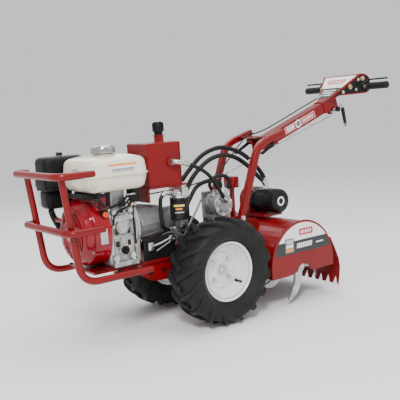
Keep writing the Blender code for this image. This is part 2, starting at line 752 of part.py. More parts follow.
def build_hydraulics():
    """Bell housing, pump, reservoir with cap, filter, and the motor that drives the axle."""
    metal = cast_aluminium()
    centre = (0, 0, CRANK_Z)
    lathe(
        "bell_housing",
        [
            (BLOCK_REAR_Y + GAP, 0.078), (BLOCK_REAR_Y + 0.012, 0.078), (-0.190, 0.066), (-0.150, 0.058),
            (-0.150, 0.034), (-0.160, 0.034), (-0.195, 0.056), (BLOCK_REAR_Y + GAP, 0.064),
        ],
        "Y", centre, metal, 20,
    )
    pump = cylinder("hydraulic_pump", "Y", centre, -0.150 + GAP, -0.035, 0.046, metal, 24, 0.004)
    port_block = box(
        "pump_port_block", (-0.045, -0.105, CRANK_Z - 0.055), (0.066, -0.045, CRANK_Z - 0.008), metal, 0.004,
    )
    weld_to(pump, port_block)

    red = red_paint()
    reservoir = box(
        "reservoir", (-RESERVOIR_HALF, RESERVOIR_FRONT_Y, RESERVOIR_BASE_Z),
        (RESERVOIR_HALF, RESERVOIR_REAR_Y, RESERVOIR_TOP_Z), red, 0.004,
    )
    filler_y = (RESERVOIR_FRONT_Y + RESERVOIR_REAR_Y) / 2 + 0.028
    filler = cylinder(
        "reservoir_filler", "Z", (0, filler_y, 0), RESERVOIR_TOP_Z - 0.01, RESERVOIR_TOP_Z + 0.028,
        FILLER_RADIUS, red, 24,
    )
    base = box(
        "reservoir_base", (-RESERVOIR_HALF - 0.004, RESERVOIR_FRONT_Y - 0.004, RESERVOIR_BASE_Z - 0.004),
        (RESERVOIR_HALF + 0.006, RESERVOIR_REAR_Y + 0.022, RESERVOIR_BASE_Z + 0.003), red,
    )
    leg = box(
        "reservoir_leg", (-0.050, RESERVOIR_FRONT_Y - 0.003, CRANK_Z + 0.0785),
        (0.062, RESERVOIR_FRONT_Y + 0.004, RESERVOIR_BASE_Z + 0.002), red,
    )
    boss = cylinder(
        "reservoir_boss", "X", (0, RESERVOIR_REAR_Y - 0.045, RESERVOIR_BASE_Z + 0.092), RESERVOIR_HALF - 0.01,
        RESERVOIR_HALF + 0.007, 0.020, red, 20,
    )
    weld_to(reservoir, filler, base, leg, boss)
    put_origin(
        lathe(
            "breather_cap",
            [
                (RESERVOIR_TOP_Z + 0.028 + GAP, 0.0), (RESERVOIR_TOP_Z + 0.028 + GAP, 0.016),
                (RESERVOIR_TOP_Z + 0.042, 0.018), (RESERVOIR_TOP_Z + 0.042, 0.024),
                (RESERVOIR_TOP_Z + 0.048, 0.024), (RESERVOIR_TOP_Z + 0.050, 0.021),
                (RESERVOIR_TOP_Z + 0.074, 0.021), (RESERVOIR_TOP_Z + 0.079, 0.017),
                (RESERVOIR_TOP_Z + 0.079, 0.0),
            ],
            "Z", (0, filler_y, 0), black_plastic(), 16,
        ),
        (0, filler_y, RESERVOIR_TOP_Z + 0.03),
    )

    box(
        "filter_head", (FILTER_X - 0.046, FILTER_Y - 0.036, FILTER_TOP_Z + GAP),
        (FILTER_X + 0.046, FILTER_Y + 0.036, RESERVOIR_BASE_Z - 0.004 - GAP), metal, 0.008,
    )
    cylinder("oil_filter", "Z", (FILTER_X, FILTER_Y, 0), FILTER_BASE_Z, FILTER_TOP_Z, FILTER_RADIUS,
             black_paint(), 24, 0.006)

    motor = cylinder("wheel_motor", "X", (0, DRIVE_Y, DRIVE_Z), 0.008, 0.088, 0.046, metal, 28, 0.004)
    motor_flange = box("wheel_motor_flange", (-0.004, DRIVE_Y - 0.046, DRIVE_Z - 0.055),
                       (0.012, DRIVE_Y + 0.046, DRIVE_Z + 0.055), metal, 0.004)
    saddle = box("wheel_motor_saddle", (-0.004, DRIVE_Y - 0.032, CHASSIS_TOP_Z + 0.095),
                 (0.070, DRIVE_Y + 0.0235, DRIVE_Z - 0.02), metal)
    weld_to(motor, motor_flange, saddle)


def pitch_radius(teeth):
    return CHAIN_PITCH / (2 * math.sin(math.pi / teeth))


def sprocket_outline(centre, teeth):
    """Alternating tips and roots, three points to a tooth."""
    points = []
    for i in range(teeth):
        for share, reach in ((0.0, 0.0028), (0.35, -0.003), (0.65, -0.003)):
            angle = 2 * math.pi * (i + share) / teeth
            radius = pitch_radius(teeth) + reach
            points.append((centre[0] + radius * math.cos(angle), centre[1] + radius * math.sin(angle)))
    return points


def band_outline(small, small_radius, large, large_radius, steps=10):
    """The outline of a belt round two circles, from the small one's centre to the large one's."""
    run = math.hypot(large[0] - small[0], large[1] - small[1])
    heading = math.degrees(math.atan2(large[1] - small[1], large[0] - small[0]))
    lean = math.degrees(math.acos((small_radius - large_radius) / run))
    return [
        *arc(large, large_radius, heading - lean, heading + lean, steps),
        *arc(small, small_radius, heading + lean, heading - lean + 360, steps),
    ]


def build_drive():
    """The sprocket on the wheel motor, its chain, and the axle with its own sprocket."""
    steel = bright_steel()
    motor_spot = (DRIVE_Y, DRIVE_Z)
    axle_spot = (0.0, AXLE_Z)
    sprocket = prism("motor_sprocket", sprocket_outline(motor_spot, MOTOR_TEETH), "X",
                     SPROCKET_RIGHT_X, SPROCKET_LEFT_X, steel)
    stub = cylinder("motor_stub", "X", (0, *motor_spot), SPROCKET_RIGHT_X - 0.006, -0.0045, 0.011, steel, 20)
    for piece in (sprocket, stub):
        put_origin(piece, (0, *motor_spot))
    weld_to(sprocket, stub)

    slack = 0.0038
    thickness = 0.006
    small = pitch_radius(MOTOR_TEETH) + slack
    large = pitch_radius(AXLE_TEETH) + slack
    chain = prism("drive_chain", band_outline(motor_spot, small + thickness, axle_spot, large + thickness),
                  "X", SPROCKET_RIGHT_X - 0.001, SPROCKET_LEFT_X + 0.001, steel)
    cut_from(chain, prism("chain_inside", band_outline(motor_spot, small, axle_spot, large), "X",
                          SPROCKET_RIGHT_X - 0.02, SPROCKET_LEFT_X + 0.02, steel))

    reach = TRACK_HALF + 0.022
    centre = (0, 0, AXLE_Z)
    axle = cylinder("axle_shaft", "X", centre, -reach, reach, AXLE_RADIUS, steel, 16, 0.001)
    plate = prism("axle_sprocket", sprocket_outline(axle_spot, AXLE_TEETH), "X",
                  SPROCKET_RIGHT_X, SPROCKET_LEFT_X, steel)
    nuts = [
        cylinder(f"axle_nut_{n}", "X", centre, low, low + 0.010, 0.0185, steel, 6)
        for n, low in enumerate((-reach + 0.002, reach - 0.012))
    ]
    for piece in (axle, plate, *nuts):
        put_origin(piece, centre)
    weld_to(axle, plate, *nuts)


def mirrored(profile, side, offset):
    return [(offset + side * along, radius) for along, radius in profile]


def build_wheels():
    """Left and right rim and tyre, each turned about the axle."""
    half = RIM_WIDTH / 2
    disc = -DISC_INSET
    bore = AXLE_RADIUS + GAP
    flange = RIM_RADIUS
    barrel = RIM_RADIUS - 0.014
    inside = barrel - RIM_WALL
    rim_profile = [
        (-half, flange), (-half + 0.004, flange), (-half + 0.006, barrel), (half - 0.006, barrel),
        (half - 0.004, flange), (half, flange), (half - 0.001, flange - 0.004), (half - 0.009, inside),
        (disc + 0.020, inside), (disc + 0.006, inside - 0.006), (disc + RIM_WALL, inside - 0.018),
        (disc + RIM_WALL, 0.036), (disc + 0.010, 0.028), (disc + 0.010, bore), (disc - 0.040, bore),
        (disc - 0.040, HUB_RADIUS), (disc - 0.006, HUB_RADIUS), (disc, 0.036), (disc, inside - 0.014),
        (disc + 0.004, inside), (-half + 0.009, inside), (-half + 0.001, flange - 0.004),
    ]
    crown = TYRE_RADIUS
    side_wall = TYRE_WIDTH / 2
    wall = 0.009
    outer = [
        (half - 0.0065, barrel + GAP), (half - 0.0044, flange + GAP), (half + 0.002, flange + 0.003),
        (side_wall - 0.006, flange + 0.018), (side_wall, flange + 0.038), (side_wall - 0.002, flange + 0.058),
        (side_wall - 0.010, crown - 0.016), (side_wall - 0.024, crown - 0.005), (0.030, crown),
    ]
    inner = [
        (0.030, crown - wall - 0.006), (side_wall - 0.024, crown - wall - 0.012),
        (side_wall - wall, flange + 0.052), (side_wall - wall, flange + 0.034),
        (half - 0.004, flange + 0.012), (half - 0.020, barrel + GAP),
    ]
    tyre_profile = [
        *outer, *[(-a, r) for a, r in reversed(outer)], *[(-a, r) for a, r in reversed(inner)], *inner,
    ]
    for side, name in ((1, "left"), (-1, "right")):
        centre = (0, 0, AXLE_Z)
        rim = lathe(f"wheel_rim_{name}", mirrored(rim_profile, side, side * TRACK_HALF), "X", centre,
                    white_paint(), 24)
        tyre = lathe(f"tyre_{name}", mirrored(tyre_profile, side, side * TRACK_HALF), "X", centre,
                     black_rubber(), 24)
        for piece in (rim, tyre):
            put_origin(piece, centre)


def blade_outline(phase):
    """A sickle-shaped tine in (Y, Z): wide at the flange, swept back to a narrow tip at full reach."""
    start = 0.028
    spans = 4
    leading, trailing = [], []
    for i in range(spans + 1):
        share = i / spans
        radius = start + (TINE_REACH - start) * share
        sweep = math.radians(phase) - TINE_TIP_LAG * share ** 2
        width = 0.019 - 0.013 * share
        spread = width / max(radius, 0.03)
        leading.append((TINE_Y + radius * math.cos(sweep + spread), TINE_Z + radius * math.sin(sweep + spread)))
        trailing.append((TINE_Y + radius * math.cos(sweep - spread), TINE_Z + radius * math.sin(sweep - spread)))
    return leading + trailing[::-1]


def build_tine_head():
    """Shaft, tines, chain case, hydraulic motor, hood and the hinged flap."""
    steel = bright_steel()
    red = red_paint()
    centre = (0, TINE_Y, TINE_Z)
    shaft_end = HOOD_HALF - 0.020
    shaft = cylinder("tine_shaft", "X", centre, -shaft_end, shaft_end, TINE_SHAFT_RADIUS, steel, 24, 0.002)
    put_origin(shaft, centre)
    sleeve_inner = TINE_SHAFT_RADIUS + GAP
    sets = (
        ("tine_set_left", CASE_LEFT_X + 0.004, shaft_end - 0.004, (0.045, 0.130, 0.214)),
        ("tine_set_right", -shaft_end + 0.004, CASE_RIGHT_X - 0.004, (-0.130, -0.214)),
    )
    for name, low, high, places in sets:
        tube = lathe(name, [(low, sleeve_inner), (low, 0.023), (high, 0.023), (high, sleeve_inner)], "X",
                     centre, steel, 24)
        added = []
        for n, x in enumerate(places):
            flange = cylinder(f"{name}_flange_{n}", "X", centre, x - 0.004, x + 0.004, 0.048, steel, 20)
            bore = cylinder(f"{name}_bore_{n}", "X", centre, x - 0.03, x + 0.03, 0.0205, steel, 24)
            put_origin(bore, centre)
            cut_from(flange, bore)
            added.append(flange)
            for k in range(4):
                phase = -90 + math.degrees(TINE_TIP_LAG) + 90 * k + 30 * n
                side = 1 if k % 2 else -1
                near = x + side * 0.003
                blade = prism(f"{name}_blade_{n}_{k}", blade_outline(phase), "X",
                              min(near, near + side * TINE_THICKNESS), max(near, near + side * TINE_THICKNESS),
                              steel)
                added.append(blade)
        for piece in (tube, *added):
            put_origin(piece, centre)
        weld_to(tube, *added)

    case_outline = band_outline((MOTOR_Y, MOTOR_Z), 0.056, (TINE_Y, TINE_Z), 0.046, 8)
    case = prism("chain_case", case_outline, "X", CASE_RIGHT_X, CASE_LEFT_X, red)
    saddle = box("case_saddle", (CASE_LEFT_X - 0.01, MOTOR_Y - 0.060, HOOD_Z + HOOD_RADIUS + 0.001),
                 (MOTOR_LEFT_X - 0.045, MOTOR_Y + 0.050, MOTOR_Z - MOTOR_RADIUS - 0.001), black_paint())
    weld_to(case, saddle)
    cut_from(case, cylinder("case_bore", "X", centre, -0.2, 0.1, TINE_SHAFT_RADIUS + GAP, red, 24))
    motor = cylinder("tine_motor", "X", (0, MOTOR_Y, MOTOR_Z), CASE_LEFT_X + GAP, MOTOR_LEFT_X, MOTOR_RADIUS,
                     black_paint(), 24, 0.005)
    ports = box("motor_ports", (0.000, MOTOR_Y - 0.038, MOTOR_Z + 0.02),
                (0.085, MOTOR_Y + 0.018, MOTOR_Z + MOTOR_RADIUS - 0.0015), black_paint(), 0.003)
    weld_to(motor, ports)

    drum_outer = HOOD_RADIUS - 0.006
    drum_inner = drum_outer - HOOD_SHEET
    drum_centre = (TINE_Y, HOOD_Z)
    outline = [
        *arc(drum_centre, drum_outer, 24, 180, 20),
        (TINE_Y - drum_outer, HOOD_HEM_Z),
        (TINE_Y - drum_inner, HOOD_HEM_Z),
        *arc(drum_centre, drum_inner, 180, 24, 20),
    ]
    inner_x = HOOD_HALF - HOOD_SIDE_PLATE
    drum = prism("hood_drum", outline, "X", -inner_x + GAP, inner_x - GAP, red)
    slot = prism("drum_slot", band_outline((MOTOR_Y, MOTOR_Z), 0.0565, (TINE_Y, TINE_Z), 0.0465, 8), "X",
                 CASE_RIGHT_X - 0.0005, CASE_LEFT_X + 0.0005, red)
    cut_from(drum, slot)

    for side, name in ((1, "hood_side_left"), (-1, "hood_side_right")):
        notch = arc((TINE_Y, HOOD_HEM_Z - 0.002), 0.040, 0, 180, 10)
        side_outline = [
            *arc(drum_centre, HOOD_RADIUS, 0, 180, 24),
            (TINE_Y - HOOD_RADIUS, HOOD_HEM_Z),
            (TINE_Y - 0.075, HOOD_HEM_Z),
            *[spot for spot in reversed(notch) if spot[1] > HOOD_HEM_Z],
            (TINE_Y + 0.056, HOOD_HEM_Z),
            (TINE_Y + HOOD_RADIUS, HOOD_HEM_Z),
        ]
        near, far = side * inner_x, side * HOOD_HALF
        prism(name, side_outline, "X", min(near, far), max(near, far), red)

    hinge = (TINE_Y + HOOD_RADIUS * math.cos(math.radians(24)) + 0.0075,
             HOOD_Z + HOOD_RADIUS * math.sin(math.radians(24)) + 0.002)
    fall = [hinge, (0.598, 0.195), (0.618, 0.150), (0.625, 0.110), (0.620, 0.072), (0.612, 0.034)]
    route = [Vector((0, y, z)) for y, z in fall]
    flap = square_bar("rear_flap", route, 2 * HOOD_HALF - 0.004, HOOD_SHEET, red)
    barrel = cylinder("flap_barrel", "X", (0, *hinge), -HOOD_HALF + 0.002, HOOD_HALF - 0.002, 0.005, red, 12)
    teeth = 12
    pitch = 2 * HOOD_HALF / teeth
    notches = []
    for i in range(teeth):
        x = -HOOD_HALF + pitch * (i + 0.5)
        notches.append(prism(f"flap_notch_{i}", [(x - 0.40 * pitch, 0.02), (x + 0.40 * pitch, 0.02), (x, 0.068)],
                             "Y", 0.56, 0.68, red))
    for piece in (flap, barrel, *notches):
        put_origin(piece, (0, *hinge))
    weld_to(flap, barrel)
    cut_from(flap, *notches)


def build_handle():
    """Two uprights that bend into arms, the plate between them, the boom, console, bar and controls."""
    red = red_paint()
    steel = bright_steel()
    inner_face = UPRIGHT_X - UPRIGHT_SIZE / 2
    for side, name in ((1, "handle_upright_left"), (-1, "handle_upright_right")):
        corners = [Vector((side * UPRIGHT_X, y, z)) for y, z in (UPRIGHT_FOOT, UPRIGHT_BEND, ARM_END)]
        square_bar(name, rounded_route(corners, 0.045, 4), UPRIGHT_SIZE, UPRIGHT_SIZE, red)
    box("cross_plate", (-inner_face + GAP, ARM_END[0] - 0.088, 0.6975),
        (inner_face - GAP, ARM_END[0] - 0.032, 0.7025), red)
    start = Vector((0, *BOOM_START))
    end = Vector((0, *BOOM_END))
    square_bar("boom", [start, end], BOOM_SIZE, BOOM_SIZE, red)

    slope = (end - start).normalized()
    sleeve_end = end + slope * 0.095
    console = square_bar("console", [end + slope * GAP, sleeve_end], BOOM_SIZE + 0.006, BOOM_SIZE + 0.006, red)
    foot_y, foot_z = 0.828, 0.838
    top_y, top_z = 0.981, 0.956

    def half_width(y):
        share = (y - foot_y) / (top_y - foot_y)
        return CONSOLE_FOOT_HALF + (CONSOLE_TOP_HALF - CONSOLE_FOOT_HALF) * share

    bm = bmesh.new()
    drop = Vector((0, 0.595, -0.804)) * CONSOLE_SHEET
    corners = [
        Vector((-half_width(foot_y), foot_y, foot_z)), Vector((half_width(foot_y), foot_y, foot_z)),
        Vector((half_width(top_y), top_y, top_z)), Vector((-half_width(top_y), top_y, top_z)),
    ]
    rings = [[bm.verts.new(c + d) for c in corners] for d in (Vector((0, 0, 0)), drop)]
    bm.faces.new(rings[0])
    bm.faces.new(rings[1])
    for i in range(4):
        j = (i + 1) % 4
        bm.faces.new((rings[0][i], rings[0][j], rings[1][j], rings[1][i]))
    panel = from_bmesh("console_panel", bm, red)

    side_outline = [
        (foot_y, foot_z - 0.002), (top_y, top_z + 0.002),
        *arc((BAR_Y + CONSOLE_OVERHANG - 0.036, 0.921), 0.036, 96, 0, 6),
        *arc((BAR_Y + CONSOLE_OVERHANG - 0.026, 0.890), 0.026, 0, -90, 5), (0.885, 0.858), (0.850, 0.836),
    ]
    flanges = []
    for side in (1, -1):
        bm = bmesh.new()
        rings = [
            [bm.verts.new(Vector((side * (half_width(y) - out), y, z))) for y, z in side_outline]
            for out in (-0.001, CONSOLE_SHEET)
        ]
        bm.faces.new(rings[0])
        bm.faces.new(rings[1])
        count = len(side_outline)
        for i in range(count):
            j = (i + 1) % count
            bm.faces.new((rings[0][i], rings[0][j], rings[1][j], rings[1][i]))
        flanges.append(from_bmesh(f"console_flange_{side}", bm, red))
    pivot = (0.888, 0.786)
    ear = box("lever_ear", (-0.010, pivot[0] - 0.010, pivot[1] - 0.012), (0.010, pivot[0] + 0.010, 0.82), red)
    weld_to(console, panel, *flanges, ear)
    bar_hole = cylinder("bar_hole", "X", (0, BAR_Y, BAR_Z), -0.3, 0.3, BAR_RADIUS + GAP, red, 24)
    bail_pivot = (0.965, 0.905)
    bail_hole = cylinder("bail_hole", "X", (0, *bail_pivot), -0.3, 0.3, 0.0045, red, 16)
    cut_from(console, bar_hole, bail_hole)

    cylinder("handlebar", "X", (0, BAR_Y, BAR_Z), -BAR_HALF + 0.003, BAR_HALF - 0.003, BAR_RADIUS, steel, 24)
    for side, name in ((1, "grip_left"), (-1, "grip_right")):
        low, high = BAR_HALF - GRIP_LENGTH, BAR_HALF + 0.002
        profile = [
            (low, BAR_RADIUS + GAP), (low, GRIP_RADIUS + 0.002), (low + 0.006, GRIP_RADIUS + 0.002),
            (low + 0.010, GRIP_RADIUS), (high - 0.004, GRIP_RADIUS), (high, GRIP_RADIUS - 0.003), (high, 0.0),
            (BAR_HALF - 0.003 + GAP, 0.0), (BAR_HALF - 0.003 + GAP, BAR_RADIUS + GAP),
        ]
        lathe_cup(name, mirrored(profile, side, 0.0), Vector((0, BAR_Y, BAR_Z)), black_rubber(), 16)

    out = BAR_HALF - 0.004
    knee = CONSOLE_TOP_HALF + 0.028
    spots = [
        (-out, 1.004, 0.926), (-knee, 1.004, 0.926), (-knee + 0.006, *bail_pivot),
        (knee - 0.006, *bail_pivot), (knee, 1.004, 0.926), (out, 1.004, 0.926),
    ]
    bail = bar_mesh("safety_bail", rounded_route([Vector(s) for s in spots], 0.008, 3), 0.004, steel, 10)
    put_origin(bail, (0, *bail_pivot))

    lever_x = 0.020
    hub = cylinder("control_lever", "X", (0, *pivot), 0.0104, 0.0275, 0.009, steel, 20, 0.001)
    stem = bar_mesh(
        "lever_stem",
        rounded_route([Vector((lever_x, y, z)) for y, z in (pivot, (0.950, 0.817), (0.970, 0.735))], 0.010, 3),
        0.0045, steel, 10,
    )
    knob = bar_mesh("lever_grip", [Vector((lever_x, 0.9532, 0.805)), Vector((lever_x, 0.973, 0.718))], 0.0075,
                    black_rubber(), 12)
    arm = bar_mesh("lever_arm", [Vector((lever_x, *pivot)), Vector((lever_x, 0.872, 0.767))], 0.004, steel, 8)
    for piece in (hub, stem, knob, arm):
        put_origin(piece, (0, *pivot))
    weld_to(hub, stem, knob, arm)
    rod = [Vector((lever_x, 0.145, 0.545)), Vector((lever_x, 0.864, 0.7628))]
    bar_mesh("control_rod", rod, 0.004, steel, 10)


def lathe_cup(name, profile, centre, finish, steps):
    """A turned cup along X: profile is a closed list of (along, radius), two neighbours of it on the axis."""
    bm = bmesh.new()
    rings = []
    for along, radius in profile:
        if radius < 1e-7:
            rings.append([bm.verts.new(centre + X_AXIS * along)])
            continue
        rings.append([
            bm.verts.new(centre + Vector((along, radius * math.cos(t), radius * math.sin(t))))
            for t in (2 * math.pi * i / steps for i in range(steps))
        ])
    for first, second in zip(rings, rings[1:] + rings[:1]):
        if len(first) == 1 and len(second) == 1:
            continue
        for k in range(steps):
            m = (k + 1) % steps
            corners = [first[k % len(first)], first[m % len(first)], second[m % len(second)], second[k % len(second)]]
            bm.faces.new(list(dict.fromkeys(corners)))
    return from_bmesh(name, bm, finish)


def hose(name, spots, radius, resolution=2):
    """A flexible line along a smooth curve through its chosen points."""
    return round_tube(name, smooth_route([Vector(s) for s in spots], 2), radius, black_rubber(), resolution)


def build_hoses():
    """The hydraulic hoses and the throttle cable, each along its route."""
    hose("return_hose", (
        (0.0795, -0.114, 0.640), (0.098, -0.113, 0.640), (0.117, -0.065, 0.627), (0.122, -0.015, 0.604),
        (0.117, 0.030, 0.575), (0.113, 0.065, 0.535), (0.111, 0.095, 0.492), (0.106, 0.120, 0.461),
        (0.0894, 0.122, 0.459),
    ), SMALL_HOSE_RADIUS)
    hose("suction_hose", (
        (0.085, -0.1420, 0.524), (0.085, -0.162, 0.524), (0.086, -0.182, 0.509), (0.087, -0.188, 0.480),
        (0.087, -0.188, 0.430), (0.080, -0.178, 0.398), (0.066, -0.150, 0.380), (0.056, -0.124, 0.378),
        (0.055, -0.1062, 0.378),
    ), SMALL_HOSE_RADIUS)
    hose("tine_hose_upper", (
        (-0.005, -0.0560, 0.4608), (-0.005, -0.055, 0.500), (0.000, -0.030, 0.540), (0.000, 0.020, 0.590),
        (0.000, 0.082, 0.6395), (0.000, 0.140, 0.663), (0.000, 0.2015, 0.669), (0.000, 0.270, 0.652),
        (0.002, 0.328, 0.6215), (0.010, 0.380, 0.573), (0.020, 0.408, 0.530), (0.024, 0.414, 0.500),
        (0.024, 0.414, 0.4745),
    ), HOSE_RADIUS)
    hose("tine_hose_lower", (
        (0.030, -0.048, 0.4566), (0.031, -0.048, 0.480), (0.040, -0.025, 0.520), (0.045, 0.000, 0.5613),
        (0.045, 0.045, 0.600), (0.045, 0.100, 0.630), (0.045, 0.164, 0.641), (0.045, 0.225, 0.628),
        (0.045, 0.280, 0.598), (0.046, 0.320, 0.566), (0.050, 0.358, 0.528), (0.057, 0.386, 0.498),
        (0.058, 0.388, 0.4745),
    ), HOSE_RADIUS)
    hose("throttle_cable", (
        (0.020, 0.820, 0.868), (0.018, 0.760, 0.845), (0.015, 0.680, 0.815), (0.012, 0.560, 0.770),
        (0.008, 0.460, 0.733), (0.000, 0.400, 0.7165), (-0.012, 0.362, 0.7115), (-0.028, 0.322, 0.670),
        (-0.045, 0.200, 0.555), (-0.060, 0.100, 0.525), (-0.078, 0.000, 0.512), (-0.092, -0.120, 0.505),
        (-0.092, -0.240, 0.503), (-0.088, -0.290, 0.497), (-0.086, -0.3130, 0.488),
    ), 0.0028)


def gather():
    """Parents every object to one empty, which puts the origin under the middle of the machine."""
    base = bpy.data.objects.new("tiller_base", None)
    bpy.context.scene.collection.objects.link(base)
    base.location = (0.0, -MIDDLE_Y, 0.0)
    for obj in bpy.data.objects:
        if obj is not base and obj.parent is None:
            obj.parent = base


def main():
    clear_scene()
    build_chassis()
    build_guard()
    build_engine_block()
    build_engine_front()
    build_engine_top()
    build_hydraulics()
    build_drive()
    build_wheels()
    build_tine_head()
    build_handle()
    build_hoses()
    gather()


main()
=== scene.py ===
"""A rear-tine tiller: engine in front, lugged wheels, hooded tines and a single-boom handle.

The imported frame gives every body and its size.  This script gives each body its finished shapes
and finishes.  Lengths are metres.  Pieces are laid out with the wheel axle at Y = 0 and the ground
at Z = 0, and `Shape.hand_over` shifts them to the frame's own origin.
"""

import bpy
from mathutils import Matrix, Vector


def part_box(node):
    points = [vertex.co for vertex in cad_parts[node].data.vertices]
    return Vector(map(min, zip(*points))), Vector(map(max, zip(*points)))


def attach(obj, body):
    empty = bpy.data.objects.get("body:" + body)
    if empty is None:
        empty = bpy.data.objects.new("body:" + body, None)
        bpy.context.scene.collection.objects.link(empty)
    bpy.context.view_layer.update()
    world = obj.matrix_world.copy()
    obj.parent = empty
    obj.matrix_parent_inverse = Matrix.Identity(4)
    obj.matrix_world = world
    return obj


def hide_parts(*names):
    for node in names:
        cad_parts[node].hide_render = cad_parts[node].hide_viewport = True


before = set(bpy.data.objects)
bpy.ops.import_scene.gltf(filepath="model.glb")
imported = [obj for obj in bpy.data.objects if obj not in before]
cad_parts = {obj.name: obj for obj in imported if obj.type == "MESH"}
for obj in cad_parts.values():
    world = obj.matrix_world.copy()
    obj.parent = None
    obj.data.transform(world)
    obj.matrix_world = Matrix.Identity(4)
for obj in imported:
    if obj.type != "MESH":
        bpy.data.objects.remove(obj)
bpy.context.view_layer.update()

import logging
import math
from dataclasses import dataclass
from enum import Enum

import bmesh
import bpy
from mathutils import Matrix, Vector

log = logging.getLogger("tiller")
Point = tuple[float, float, float]
Colour = tuple[float, float, float]
Spot = tuple[float, float]
Places = list[tuple[Point, Point]]
TineSet = tuple[str, float, float, tuple[float, ...]]

AXLE_Y = sum(corner.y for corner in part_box("axle_shaft")) / 2
AXLE_Z = sum(corner.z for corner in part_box("axle_shaft")) / 2
COAT_ROUGHNESS = 0.08
BUMP_STRENGTH = 0.6


class Axis(Enum):
    """An axis that a piece is turned about or pushed along."""

    X = 0
    Y = 1
    Z = 2

    def spread(self, along: float, first: float, second: float) -> Vector:
        """Place a point given along the axis and on the two axes that follow it.

        Args:
            along: Coordinate on this axis.
            first: Coordinate on the next axis, in the order X, Y, Z.
            second: Coordinate on the axis after that.

        Returns:
            The point.
        """
        spot = Vector((0.0, 0.0, 0.0))
        spot[self.value] = along
        spot[(self.value + 1) % 3] = first
        spot[(self.value + 2) % 3] = second
        return spot


class Body(Enum):
    """The bodies of the frame that pieces ride on."""

    FRAME = "frame"
    WHEELS = "wheels"
    TINES = "tine_rotor"
    FLAP = "flap"
    TANK_CAP = "tank_cap"
    FILLER_CAP = "filler_cap"
    CLEANER_KNOB = "cleaner_knob"
    SWITCH = "switch_knob"
    STARTER = "starter_handle"
    BAIL = "bail"
    LEVER = "lever"
    ROD = "rod"


# ---------------------------------------------------------------- finishes


